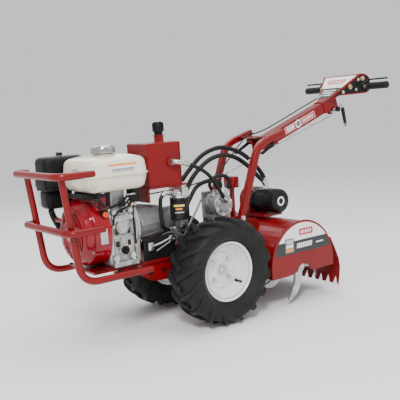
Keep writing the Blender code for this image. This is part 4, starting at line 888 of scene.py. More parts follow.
@dataclass
class Wheel:
    """One lugged tyre on its steel rim.

    Attributes:
        side: 1 for the left wheel and -1 for the right.
        track: Distance of its middle from the machine's middle.
        rim_radius: Radius of the rim's flange.
        rim_half: Half the rim's width.
        carcass: Tyre profile between the lugs, from the bead to the middle, as distance and radius.
        lug_base: Foot of a lug along the carcass.
        lug_top: Crest of a lug.
        lug_lag: How far a lug's outer end lags its inner end, in degrees.
        lug_rounding: Radius of a lug's edges.
        lugs: Number of lugs on each half.
        bolt_circle: Radius of the circle of wheel bolts.
        valve_circle: Distance of the valve stem from the axle.
        valve_turn: Angle of the valve stem in degrees.
    """

    side: int
    track: float = 0.194
    rim_radius: float = 0.117
    rim_half: float = 0.056
    carcass: tuple[Spot, ...] = ((0.05, 0.104), (0.0516, 0.1174), (0.056, 0.1215), (0.064, 0.127),
        (0.0735, 0.137), (0.079, 0.149), (0.0805, 0.162), (0.078, 0.174), (0.071, 0.185), (0.058, 0.192),
        (0.04, 0.1953), (0.02, 0.1965), (0.0, 0.1968))
    lug_base: tuple[Spot, ...] = ((-0.007, 0.194), (0.012, 0.194), (0.03, 0.1935), (0.046, 0.1915),
        (0.06, 0.187), (0.07, 0.18), (0.0765, 0.17), (0.0785, 0.158), (0.077, 0.148))
    lug_top: tuple[Spot, ...] = ((-0.007, 0.2086), (0.012, 0.2096), (0.032, 0.2092), (0.052, 0.2076),
        (0.069, 0.203), (0.0795, 0.1945), (0.0822, 0.179), (0.0822, 0.162), (0.0795, 0.1485))
    lug_lag: float = 25.0
    lug_rounding: float = 0.0016
    lugs: int = 16
    bolt_circle: float = 0.0508
    valve_circle: float = 0.0895
    valve_turn: float = -38.0

    @property
    def centre(self) -> Point:
        """Middle of the axle under the machine's middle."""
        return (0.0, 0.0, AXLE_Z)

    @property
    def tag(self) -> str:
        """Which wheel it is."""
        return "left" if self.side > 0 else "right"

    def across(self, along: float) -> float:
        """Turn a distance from the wheel's middle, outwards positive, into the layout's X."""
        return self.side * (self.track + along)

    def build(self) -> None:
        """Build the tyre, its lugs, the rim and what is fixed to it."""
        self._tyre()
        self._lugs(1)
        self._lugs(-1)
        self._rim()
        self._fixings()

    def _tyre(self) -> None:
        """Turn the carcass, with its wall and a moulded line round the side."""
        half = list(self.carcass)
        half.insert(5, (0.0776, 0.1432))
        half.insert(6, (0.0792, 0.144))
        half.insert(7, (0.0792, 0.1462))
        outer = half + [(-a, r) for a, r in reversed(half[:-1])]
        inner = [(-0.044, 0.104), (-0.05, 0.128), (-0.07, 0.15), (-0.062, 0.176), (-0.02, 0.186),
            (0.02, 0.186), (0.062, 0.176), (0.07, 0.15), (0.05, 0.128), (0.044, 0.104)]
        profile = [(self.across(a), r) for a, r in outer + inner]
        carcass = Shape(f"tyre_carcass_{self.tag}").turned(profile, Axis.X, self.centre, 96, closed=True)
        carcass.hand_over(TYRE_RUBBER, Body.WHEELS, (f"tyre_{self.tag}",), smooth_angle=50.0)

    def _lugs(self, half: int) -> None:
        """Build one lug and repeat it round one half of the tyre.

        Args:
            half: 1 for the outer half of the tyre and -1 for the inner half.
        """
        shape = Shape(f"tyre_lugs_{self.tag}_{'outer' if half > 0 else 'inner'}")
        rings = []
        last = len(self.lug_base) - 1
        for n, (base, top) in enumerate(zip(self.lug_base, self.lug_top)):
            middle = -math.radians(self.lug_lag) * (n / last) ** 1.15
            foot = 0.0125 - 0.002 * n / last
            crest = 0.008 - 0.0015 * n / last
            ring = []
            for (along, radius), width in ((base, -foot), (base, foot), (top, crest), (top, -crest)):
                turn = middle + width / 0.2
                spot = (self.across(half * along), radius * math.cos(turn),
                    AXLE_Z + radius * math.sin(turn))
                ring.append(shape.bm.verts.new(spot))
            rings.append(ring)
        shape.skin(rings, True)
        host = shape.loose()
        rounded(host, self.lug_rounding)
        start = math.pi / self.lugs if half < 0 else 0.0
        RING.grow(host, TYRE_RUBBER, Body.WHEELS, Count=self.lugs, Axis=(1.0, 0.0, 0.0), Centre=self.centre,
            Start=start)

    def _rim(self) -> None:
        """Turn the rim: rolled flanges, drop centre, dished disc and hub."""
        edge, radius = self.rim_half, self.rim_radius
        flange = arc((edge - 0.0035, radius - 0.0035), 0.0035, 90, -60, 6)
        barrel = radius - 0.0135
        well = 0.094
        outside = [(edge - 0.0065, barrel), (edge - 0.0058, radius - 0.002), *flange]
        dish = [(edge - 0.004, radius - 0.008), (edge - 0.008, radius - 0.0155),
            (edge - 0.016, radius - 0.018), (edge - 0.026, radius - 0.0185), (0.006, well - 0.001),
            (0.003, well - 0.003), (0.0012, well - 0.008), (0.001, well - 0.02), (0.0035, 0.066),
            (0.0035, 0.04), (0.007, 0.035), (0.0085, 0.03), (0.0085, 0.015)]
        back = [(-0.044, 0.015), (-0.044, 0.024), (-0.01, 0.024), (-0.006, 0.036), (-0.004, 0.08),
            (-0.002, well), (-edge + 0.012, well), (-edge + 0.004, radius - 0.008)]
        inner_flange = [(-a, r) for a, r in reversed(flange)]
        profile = outside[::-1]
        ring = [*dish, *back, *inner_flange, (-edge + 0.0058, radius - 0.002), (-edge + 0.0065, barrel)]
        closed = [(self.across(a), r) for a, r in [*profile, *reversed(ring)][::-1]]
        rim = Shape(f"rim_{self.tag}").turned(closed, Axis.X, self.centre, 96, closed=True)
        rim.hand_over(RIM_WHITE, Body.WHEELS, (f"wheel_rim_{self.tag}",), smooth_angle=40.0)

    def _fixings(self) -> None:
        """Wheel bolts with their studs, the centre nut on its washer, the valve stem and a seam bead."""
        places = round_places(Axis.X, self.across(0.005), (0.0, AXLE_Z), self.bolt_circle,
            [45 + 90 * k for k in range(4)], float(self.side))
        bolt_heads(f"wheel_bolts_{self.tag}", places, 0.0088, ZINC, Body.WHEELS)

        studs = Shape(f"wheel_studs_{self.tag}")
        for (_, y, z), _ in places:
            self._turned(studs, ((0.004, 0.0), (0.004, 0.0042), (0.0135, 0.0042), (0.0145, 0.0034),
                (0.0145, 0.0)), 14, (0.0, y, z))
        studs.hand_over(ZINC, Body.WHEELS)

        washer = Shape(f"hub_washer_{self.tag}")
        self._turned(washer, ((0.008, 0.0), (0.008, 0.026), (0.01, 0.027), (0.0115, 0.0255), (0.0115, 0.0)),
            40)
        washer.hand_over(ZINC, Body.WHEELS)
        nut = Shape(f"hub_nut_{self.tag}")
        self._turned(nut, ((0.011, 0.0), (0.011, 0.0178), (0.0195, 0.0178), (0.0215, 0.0155),
            (0.0215, 0.0)), 6)
        self._turned(nut, ((0.0215, 0.0), (0.0215, 0.0105), (0.0248, 0.01), (0.0258, 0.0085),
            (0.0258, 0.0)), 24)
        nut.hand_over(ZINC, Body.WHEELS)

        turn = math.radians(self.valve_turn)
        y, z = self.valve_circle * math.cos(turn), AXLE_Z + self.valve_circle * math.sin(turn)
        valve = Shape(f"valve_stem_{self.tag}")
        self._turned(valve, ((0.004, 0.0), (0.004, 0.0062), (0.012, 0.0055), (0.016, 0.0034),
            (0.03, 0.0032), (0.0305, 0.004), (0.038, 0.004), (0.039, 0.003), (0.039, 0.0)), 18, (0.0, y, z))
        valve.hand_over(BLACK_PLASTIC, Body.WHEELS)

        seam = Shape(f"rim_seam_{self.tag}")
        bead = [(self.across(a), r) for a, r in ((0.0015, 0.07), (0.0058, 0.07), (0.0058, 0.0712),
            (0.0015, 0.0722))]
        seam.turned(bead, Axis.X, self.centre, 72, closed=True)
        seam.hand_over(RIM_WHITE, Body.WHEELS)

    def _turned(self, shape: Shape, profile: tuple, steps: int, centre: Point | None = None) -> None:
        """Turn a profile, given outwards from the wheel's middle, about the axle or another centre.

        Args:
            shape: Shape that it is added to.
            profile: Distance from the wheel's middle and radius of each point.
            steps: Faces round it.
            centre: A point on its axis, or None for the axle.
        """
        outwards = [(self.across(along), radius) for along, radius in profile]
        shape.turned(outwards, Axis.X, centre or self.centre, steps)


class WheelPair:
    """Both wheels."""

    def build(self) -> None:
        """Build the left and the right wheel."""
        for side in (1, -1):
            Wheel(side).build()


# ---------------------------------------------------------------- guard and chassis


@dataclass
class FrontGuard:
    """The bent tube guard in front of the engine.

    Attributes:
        tube: Radius of the tube.
        half: Distance of an upright from the middle.
        top: Front distance and height of an upright's top.
        foot: Front distance and height of its lower corner.
        rear: Front distance and height of its end on the chassis.
        rail_half: Half the width between a rail's returns.
        rail_bend: Run of a rail's bend.
        post_bend: Run of an upright's bend.
        plate_inner: Inner edge of a foot plate.
        rim: Rounding of a cut tube end.
        cap_share: Radius of an end cap as a share of the tube's.
        weld: Radius of a ring of weld beads.
        rails: Name, height, front distance, left return and right return of each rail.
    """

    tube: float = 0.013
    half: float = 0.143
    top: Spot = (-0.6125, 0.64)
    foot: Spot = (-0.5675, 0.262)
    rear: Spot = (-0.28, 0.2615)
    rail_half: float = 0.18
    rail_bend: float = 0.045
    post_bend: float = 0.07
    plate_inner: float = 0.098
    rim: float = 0.0015
    cap_share: float = 0.93
    weld: float = 0.0085
    rails: tuple[tuple[str, float, float, float, float], ...] = (("upper", 0.64, -0.641, 0.132, 0.05),
        ("lower", 0.447, -0.61802, 0.132, 0.05))

    def build(self) -> None:
        """Build the uprights, then the rails."""
        for side, tag in ((1, "left"), (-1, "right")):
            self._post(side, tag)
        for rail in self.rails:
            self._rail(*rail)

    def _post(self, side: int, tag: str) -> None:
        """Bend one upright, with its foot plate and end cap.

        Args:
            side: 1 for the left upright and -1 for the right.
            tag: Which upright it is.
        """
        x = side * self.half
        route = filleted([(x, *self.top), (x, *self.foot), (x, *self.rear)], self.post_bend, 12)
        post = Shape(f"guard_post_{tag}").pipe(route, self.tube, 28, self.rim)
        low, high = sorted((side * self.plate_inner, x))
        post.block((low, -0.42, 0.2635), (high, -0.32, 0.2715), 0.001)
        post.hand_over(POWDER_COAT, Body.FRAME, (f"guard_tube_{tag}",), smooth_angle=45.0)
        lean = (route[0] - route[3]).normalized()
        cap = Shape(f"guard_cap_{tag}")
        cap.bar(route[0] - lean * 0.004, route[0] + lean * 0.0028, self.tube * self.cap_share, 24, 0.0012)
        cap.hand_over(BLACK_PLASTIC, Body.FRAME)

    def _rail(self, tag: str, z: float, y: float, left: float, right: float) -> None:
        """Bend one rail, with its end caps and the weld beads on the uprights.

        Args:
            tag: Which rail it is.
            z: Its height.
            y: Its front distance.
            left: Length of its left return.
            right: Length of its right return.
        """
        route = filleted([(-self.rail_half, y + right, z), (-self.rail_half, y, z), (self.rail_half, y, z),
            (self.rail_half, y + left, z)], self.rail_bend, 12)
        rail = Shape(f"guard_bar_{tag}").pipe(route, self.tube, 28, self.rim)
        rail.hand_over(POWDER_COAT, Body.FRAME, (f"guard_rail_{tag}",), smooth_angle=45.0)
        ends = Shape(f"guard_bar_caps_{tag}")
        for x, reach in ((self.rail_half, left), (-self.rail_half, right)):
            end = Vector((x, y + reach, z))
            ends.bar(end + Vector((0, -0.004, 0)), end + Vector((0, 0.0022, 0)), self.tube * self.cap_share,
                24, 0.001)
        ends.hand_over(BLACK_PLASTIC, Body.FRAME)
        welds = Shape(f"guard_welds_{tag}")
        slope = (self.top[0] - self.foot[0]) / (self.top[1] - self.foot[1])
        post_y = self.foot[0] + slope * (z - self.foot[1])
        for side in (1, -1):
            joint = Vector((side * self.half, (y + post_y) / 2, z))
            path = []
            for k in range(19):
                t = 2 * math.pi * k / 18
                ripple = 0.0006 * (-1) ** k
                path.append(joint + Vector((math.cos(t) * self.weld, ripple, math.sin(t) * self.weld)))
            welds.pipe(path, 0.003, 8)
        welds.hand_over(POWDER_COAT, Body.FRAME, smooth_angle=60.0)


@dataclass
class ChassisTrim:
    """Bolts on the carried chassis, on the engine deck and on the guard's feet.

    Attributes:
        deck_top: Height of the deck's upper face.
        plate: Distance of the chassis side face from the middle.
    """

    deck_top: float = 0.2829
    plate: float = 0.0985

    def build(self) -> None:
        """Put the heads in the side plates, the deck and the guard's feet."""
        places = side_places(self.plate, [(-0.26, 0.235), (-0.2, 0.235), (-0.1, 0.245), (0.13, 0.25),
            (0.18, 0.225)])
        bolt_heads("chassis_bolts", places, 0.0055, BLACK_PAINT, Body.FRAME)
        deck = [(side * 0.104, y, self.deck_top + 0.0005) for side in (1, -1)
            for y in (-0.485, -0.455, -0.3, -0.275)]
        bolt_heads("deck_bolts", top_places(deck), 0.0058, BLACK_PAINT, Body.FRAME)
        feet = [(side * 0.12, y, 0.2722) for side in (1, -1) for y in (-0.4, -0.34)]
        bolt_heads("guard_foot_bolts", top_places(feet), 0.0055, BLACK_PAINT, Body.FRAME)


# ---------------------------------------------------------------- engine


@dataclass
class FuelTank:
    """The moulded steel tank on top of the engine, with its cap and labels.

    Attributes:
        low: Lowest corner of the tank.
        high: Highest corner.
        seam: Height of the rolled seam.
        corner: Radius of the upright corners.
        cap_radius: Radius of the cap.
    """

    low: Point = (-0.106, -0.5, 0.56)
    high: Point = (0.135, -0.25, 0.692)
    seam: float = 0.62
    corner: float = 0.04
    cap_radius: float = 0.044

    @property
    def middle(self) -> Spot:
        """Middle of the tank seen from above."""
        return ((self.low[0] + self.high[0]) / 2, (self.low[1] + self.high[1]) / 2)

    def build(self) -> None:
        """Build the tank, the cap and the labels."""
        self._shell()
        self._cap()
        self._labels()

    def _shell(self) -> None:
        """Loft the lower pan, the rolled seam and the crowned top."""
        x0, y0, z0 = self.low
        x1, y1, z1 = self.high
        shape = Shape("tank_shell")
        levels = [(0.052, z0, 0.026), (0.03, z0 + 0.0015, 0.03), (0.018, z0 + 0.006, 0.034),
            (0.0095, z0 + 0.015, 0.037)]
        levels += [(inset, self.seam + rise, self.corner) for inset, rise in ((0.0035, -0.022),
            (0.0005, -0.005), (-0.0035, -0.0022), (-0.0035, 0.0022), (0.0005, 0.004))]
        levels.append((0.004, z1 - 0.036, self.corner))
        for k in range(1, 9):
            t = math.radians(78 * k / 8)
            levels.append((0.004 + 0.026 * (1 - math.cos(t)), z1 - 0.036 + 0.026 * math.sin(t),
                self.corner))
        levels += [(0.045, z1 - 0.0058, 0.036), (0.065, z1 - 0.0022, 0.028), (0.085, z1 - 0.0006, 0.02)]
        rings = []
        for inset, z, corner in levels:
            outline = rounded_box_outline((x0 + inset, y0 + inset), (x1 - inset, y1 - inset),
                max(corner - max(inset, 0.0) * 0.4, 0.012), 8)
            rings.append([shape.bm.verts.new((x, y, z)) for x, y in outline])
        shape.skin(rings, True)
        mx, my = self.middle
        shape.turned([(z1 - 0.012, 0.044), (z1 - 0.001, 0.043), (z1 + 0.003, 0.034), (z1 + 0.004, 0.027)],
            Axis.Z, (mx, my, 0.0), 48)
        shape.hand_over(TANK_PAINT, Body.FRAME, ("fuel_tank",), smooth_angle=50.0)
        tab = Shape("tank_strap").block((x1 - 0.004, y1 - 0.062, self.seam - 0.007),
            (x1 + 0.0045, y1 - 0.04, self.seam + 0.006), 0.0015)
        tab.hand_over(TANK_PAINT, Body.FRAME)

    def _cap(self) -> None:
        """Turn the domed cap with ribs round its side."""
        mx, my = self.middle
        base = self.high[2] + 0.0044
        radius = self.cap_radius
        cap = Shape("tank_cap_dome")
        cap.turned([(base, 0.0), (base, radius - 0.001), (base + 0.004, radius),
            (base + 0.021, radius - 0.0008), (base + 0.0265, radius - 0.006),
            (base + 0.0285, radius - 0.014), (base + 0.0292, 0.0)], Axis.Z, (mx, my, 0.0), 64)
        cap.hand_over(CHROME, Body.TANK_CAP, ("fuel_cap",), smooth_angle=50.0)
        rib = Shape("tank_cap_ribs")
        rib.block((mx + radius - 0.0025, my - 0.0013, base + 0.0045),
            (mx + radius + 0.0009, my + 0.0013, base + 0.02), 0.0006, 1)
        RING.grow(rib.loose(), CHROME, Body.TANK_CAP, Count=40, Axis=(0.0, 0.0, 1.0), Centre=(mx, my, 0.0),
            Start=0.0)

    def _labels(self) -> None:
        """Lay a white label with an orange stripe and grey lines on the side, and a silver one in front."""
        x = self.high[0]
        side = Shape("tank_label").slab([(0.626, x - 0.006), (0.626, x - 0.0002), (0.66, x - 0.0036),
            (0.66, x - 0.009)], Axis.Y, -0.418, -0.312)
        side.hand_over(DECAL_WHITE, Body.FRAME)
        stripe = Shape("tank_label_stripe").slab([(0.6525, x - 0.007), (0.6525, x - 0.0024),
            (0.66, x - 0.0031), (0.66, x - 0.009)], Axis.Y, -0.422, -0.31)
        stripe.hand_over(DECAL_ORANGE, Body.FRAME)
        lines = Shape("tank_label_line").block((x - 0.006, -0.413, 0.63), (x - 0.0005, -0.318, 0.6312))
        ROW.grow(lines.loose(), DECAL_GREY, Body.FRAME, Count=5, Step=(0.0, 0.0, 0.003))
        front = Shape("tank_front_label").block((-0.01, self.low[1] + 0.0022, 0.63),
            (0.046, self.low[1] + 0.006, 0.648), 0.0008, 1)
        front.hand_over(DECAL_SILVER, Body.FRAME)


@dataclass
class AirCleaner:
    """The black air cleaner beside the tank.

    Attributes:
        low: Lowest corner of its cover.
        high: Highest corner.
        step: Height of the step above the base tray.
    """

    low: Point = (-0.234, -0.552, 0.578)
    high: Point = (-0.114, -0.372, 0.692)
    step: float = 0.028

    def build(self) -> None:
        """Build the cover, the tray under it, the intake and the wing knob."""
        x0, y0, z0 = self.low
        x1, y1, z1 = self.high
        cover = Shape("cleaner_cover")
        levels = [(0.004, z0 + self.step, 0.026), (0.0045, z1 - 0.022, 0.026)]
        levels += [(0.0045 + 0.018 * (1 - math.cos(t)), z1 - 0.022 + 0.02 * math.sin(t), 0.026)
            for t in (math.radians(90 * k / 6) for k in range(1, 7))]
        rings = [[cover.bm.verts.new((x, y, z)) for x,
            y in rounded_box_outline((x0 + inset, y0 + inset), (x1 - inset, y1 - inset), radius, 7)]
            for inset, z, radius in levels]
        cover.skin(rings, True)
        tray = rounded_box_outline((x0 + 0.0005, y0 + 0.0005), (x1 - 0.0005, y1 - 0.0005), 0.024, 7)
        cover.slab(tray, Axis.Z, z0, z0 + self.step, 0.004)
        cover.hand_over(BLACK_PLASTIC, Body.FRAME, ("air_cleaner_cover",), smooth_angle=45.0)

        self._knob()
        self._intake()

    def _knob(self) -> None:
        """Turn the wing knob on the cover."""
        z1 = self.high[2]
        mx, my = (self.low[0] + self.high[0]) / 2, (self.low[1] + self.high[1]) / 2
        knob = Shape("cleaner_wing_knob")
        knob.turned([(z1 + 0.0006, 0.0), (z1 + 0.0006, 0.012), (z1 + 0.004, 0.0125), (z1 + 0.009, 0.01),
            (z1 + 0.0105, 0.006), (z1 + 0.0105, 0.0)], Axis.Z, (mx, my, 0.0), 28)
        knob.block((mx - 0.0235, my - 0.0036, z1 + 0.003), (mx + 0.0235, my + 0.0036, z1 + 0.0125), 0.0025,
            3)
        knob.hand_over(BLACK_PLASTIC, Body.CLEANER_KNOB, ("air_cleaner_knob",), smooth_angle=45.0)

    def _intake(self) -> None:
        """Build the intake body under the tray, with its ribs."""
        x0, y0, z0 = self.low
        x1, y1, _ = self.high
        intake = Shape("intake_elbow")
        intake.block((x0 + 0.014, y0 + 0.014, z0 - 0.086), (x1 - 0.03, y1 - 0.057, z0 - 0.012), 0.016, 4)
        intake.slab(rounded_box_outline((x0 + 0.005, y0 + 0.005), (x1 - 0.005, y1 - 0.005), 0.016, 5),
            Axis.Z, z0 - 0.014, z0 - 0.0006, 0.002)
        intake.pipe(flowing([(x0 + 0.06, y0 + 0.06, z0 - 0.02), (x0 + 0.062, y0 + 0.058, z0 - 0.055),
            (x0 + 0.064, y0 + 0.064, z0 - 0.082)]), 0.02, 20)
        intake.hand_over(BLACK_PLASTIC, Body.FRAME, ("intake_body",), smooth_angle=45.0)
        rib = Shape("intake_rib").block((x0 + 0.012, y0 + 0.0125, z0 - 0.076),
            (x0 + 0.0155, y0 + 0.07, z0 - 0.074))
        ROW.grow(rib.loose(), BLACK_PLASTIC, Body.FRAME, Count=6, Step=(0.0, 0.0, 0.01))


@dataclass
class StarterFront:
    """The crimson fan cover, the recoil starter with its slots, its grip, and the engine switch.

    Attributes:
        radius: Radius of the fan cover.
        front: Front face of the recoil housing.
        seam: Where the housing meets the fan cover.
        rear: Rear edge of the fan cover.
        height: Height of the crankshaft.
        slot_groups: Groups of slots round the housing.
        slots: Slots in a group.
        slot_start: Inner radius of the innermost slot.
        slot_pitch: Step from one slot to the next.
        slot_width: Width of a slot.
        slot_sweep: Length of a slot in degrees.
    """

    radius: float = 0.122
    front: float = -0.531
    seam: float = -0.491
    rear: float = -0.425
    height: float = 0.414
    slot_groups: int = 6
    slots: int = 5
    slot_start: float = 0.052
    slot_pitch: float = 0.0084
    slot_width: float = 0.005
    slot_sweep: float = 47.0

    def build(self) -> None:
        """Build the cover, the housing, the grip, the switch and the labels."""
        self._cover()
        self._housing()
        self._grip()
        self._switch()

    def _cover(self) -> None:
        """Loft the cover: a drum below, squared shoulders above that carry the tank bracket."""
        centre = (0.0, 0.0, self.height)
        cover = Shape("fan_shroud")
        wall = 0.0028
        cover.turned([(self.seam + 0.0006, self.radius - 0.022), (self.seam + 0.0006, self.radius - 0.008),
            (self.seam + 0.003, self.radius - 0.003), (self.seam + 0.008, self.radius - 0.0004),
            (self.seam + 0.03, self.radius + 0.002), (self.rear, self.radius + 0.004),
            (self.rear, self.radius + 0.004 - wall), (self.seam + 0.012, self.radius - wall),
            (self.seam + 0.006, self.radius - 0.024)], Axis.Y, centre, 96, closed=True)
        outline = [(self.height + 0.085, -0.084), (self.height + 0.085, 0.104), (0.546, 0.104),
            (0.546, -0.084)]
        cover.slab(outline, Axis.Y, self.seam + 0.02, self.rear, 0.01, 4)
        cover.hand_over(FAN_PAINT, Body.FRAME, ("fan_cover",), smooth_angle=40.0)
        ridge = Shape("shroud_ridge").turned([(self.rear - 0.012, self.radius + 0.0026),
            (self.rear - 0.01, self.radius + 0.0052), (self.rear - 0.001, self.radius + 0.0056),
            (self.rear - 0.001, self.radius + 0.002)], Axis.Y, centre, 96, closed=True)
        ridge.hand_over(FAN_PAINT, Body.FRAME, smooth_angle=50.0)
        places = round_places(Axis.Y, self.seam - 0.0003, (0.0, self.height), self.radius - 0.012,
            [32, 150, 212, 328], -1.0)
        bolt_heads("starter_bolts", places, 0.0055, ZINC, Body.FRAME)

    def _housing(self) -> None:
        """Turn the recoil housing, cut its slots, and set the eyelet, a black disc of painted shade behind
        the slots and the badge.
        """
        centre = (0.0, 0.0, self.height)
        housing = Shape("recoil_dome")
        r = self.radius
        housing.turned([(self.front, 0.0), (self.front, 0.026), (self.front + 0.0022, 0.03),
            (self.front + 0.0022, 0.046), (self.front, 0.05), (self.front + 0.001, 0.066),
            (self.front + 0.006, 0.088), (self.front + 0.012, r - 0.024), (self.front + 0.02, r - 0.017),
            (self.seam - 0.006, r - 0.011), (self.seam, r - 0.0045), (self.seam, r - 0.014),
            (self.front + 0.018, r - 0.024), (self.front + 0.01, 0.086), (self.front + 0.005, 0.05),
            (self.front + 0.005, 0.0)], Axis.Y, centre, 96)
        body = housing.loose()
        self._cut_slots(body)
        dress(body, FAN_PAINT, Body.FRAME, ("recoil_housing",), smooth_angle=40.0)
        guide = Shape("rope_eyelet").turned([(-0.15, 0.0046), (-0.15, 0.0086), (-0.146, 0.0095),
            (-0.142, 0.008), (-0.085, 0.008), (-0.085, 0.0046)], Axis.X,
            (0.0, self.front + 0.026, self.height + 0.037), 28, closed=True)
        guide.hand_over(FAN_PAINT, Body.FRAME, smooth_angle=50.0)
        # Painted shade: a black disc behind the slots stands for the shaded inside of the housing.
        dark = Shape("housing_inside").turned([(self.front + 0.013, 0.0), (self.front + 0.013, 0.082),
            (self.front + 0.019, 0.0925), (self.front + 0.021, 0.0925), (self.front + 0.021, 0.0)], Axis.Y,
            centre, 64)
        dark.hand_over(BLACK_PLASTIC, Body.FRAME)
        badge = Shape("housing_badge").turned([(self.front - 0.0002, 0.0), (self.front - 0.0002, 0.024),
            (self.front + 0.001, 0.025), (self.front + 0.001, 0.0)], Axis.Y, centre, 48)
        badge.hand_over(DECAL_SILVER, Body.FRAME)

    def _cut_slots(self, body: bpy.types.Object) -> None:
        """Cut groups of curved slots, stepped outwards, into the housing's face."""
        cutters = []
        middle = (self.height, 0.0)
        for group in range(self.slot_groups):
            for step in range(self.slots):
                cutter = Shape(f"slot_cutter_{group}_{step}")
                inner = self.slot_start + self.slot_pitch * step
                outer = inner + self.slot_width
                sweep = [*arc(middle, outer, 0, self.slot_sweep, 10),
                    *reversed(arc(middle, inner, 0, self.slot_sweep, 10))]
                cutter.slab(sweep, Axis.Y, self.front - 0.02, self.seam - 0.01)
                turned = cutter.turn(10 + 60 * group + 3 * step, Axis.Y, (0.0, 0.0, self.height))
                cutters.append(turned.loose())
        for cutter in cutters:
            cut = body.modifiers.new("slot", "BOOLEAN")
            cut.operation = "DIFFERENCE"
            cut.solver = "EXACT"
            cut.object = cutter
        apply_modifiers(body)
        for cutter in cutters:
            bpy.data.objects.remove(cutter)

    def _grip(self) -> None:
        """Shape the curved pull grip with its rope."""
        y, z = self.front + 0.026, self.height + 0.037
        grip = Shape("pull_grip")
        grip.turned([(-0.151, 0.0), (-0.151, 0.008), (-0.156, 0.0125), (-0.166, 0.0135), (-0.174, 0.01),
            (-0.178, 0.0)], Axis.X, (0.0, y, z), 32)
        bar = [(-0.158, y + 0.017, z - 0.04), (-0.167, y + 0.01, z - 0.024), (-0.1715, y, z),
            (-0.167, y - 0.01, z + 0.024), (-0.158, y - 0.017, z + 0.04)]
        grip.pipe(flowing(bar, 5), 0.0118, 18, 0.006)
        grip.bar((-0.155, y, z), (-0.07, y, z), 0.0024, 12)
        grip.hand_over(GRIP_RUBBER, Body.STARTER, ("starter_grip",), smooth_angle=50.0)

    def _switch(self) -> None:
        """Turn the switch knob and its base, and lay the label on the cover's side."""
        low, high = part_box("engine_switch")
        middle = (low + high) / 2
        y, z = middle.y - AXLE_Y, middle.z
        knob = Shape("switch_dial")
        knob.turned([(low.x, 0.0), (low.x, 0.0106), (low.x + 0.006, 0.01), (low.x + 0.008, 0.007),
            (low.x + 0.008, 0.0)], Axis.X, (0.0, y, z), 32)
        knob.block((low.x + 0.006, y - 0.0032, z - 0.0095), (high.x, y + 0.0032, z + 0.0095), 0.0015, 2)
        knob.hand_over(SWITCH_PAINT, Body.SWITCH, ("engine_switch",), smooth_angle=45.0)
        base = Shape("switch_base").turned([(low.x - 0.02, 0.0), (low.x - 0.02, 0.017),
            (low.x - 0.0035, 0.0165), (low.x - 0.0008, 0.014), (low.x - 0.0008, 0.0)], Axis.X, (0.0, y, z),
            36)
        base.hand_over(BLACK_PLASTIC, Body.FRAME)
        label = Shape("cover_side_label").block((self.radius - 0.002, -0.472, self.height - 0.032),
            (self.radius + 0.0052, -0.444, self.height + 0.022), 0.001, 1)
        label.hand_over(DECAL_SILVER, Body.FRAME)
        line = Shape("cover_label_line").block((self.radius + 0.003, -0.468, self.height - 0.026),
            (self.radius + 0.0055, -0.448, self.height - 0.0245))
        ROW.grow(line.loose(), DECAL_GREY, Body.FRAME, Count=6, Step=(0.0, 0.0, 0.0075))


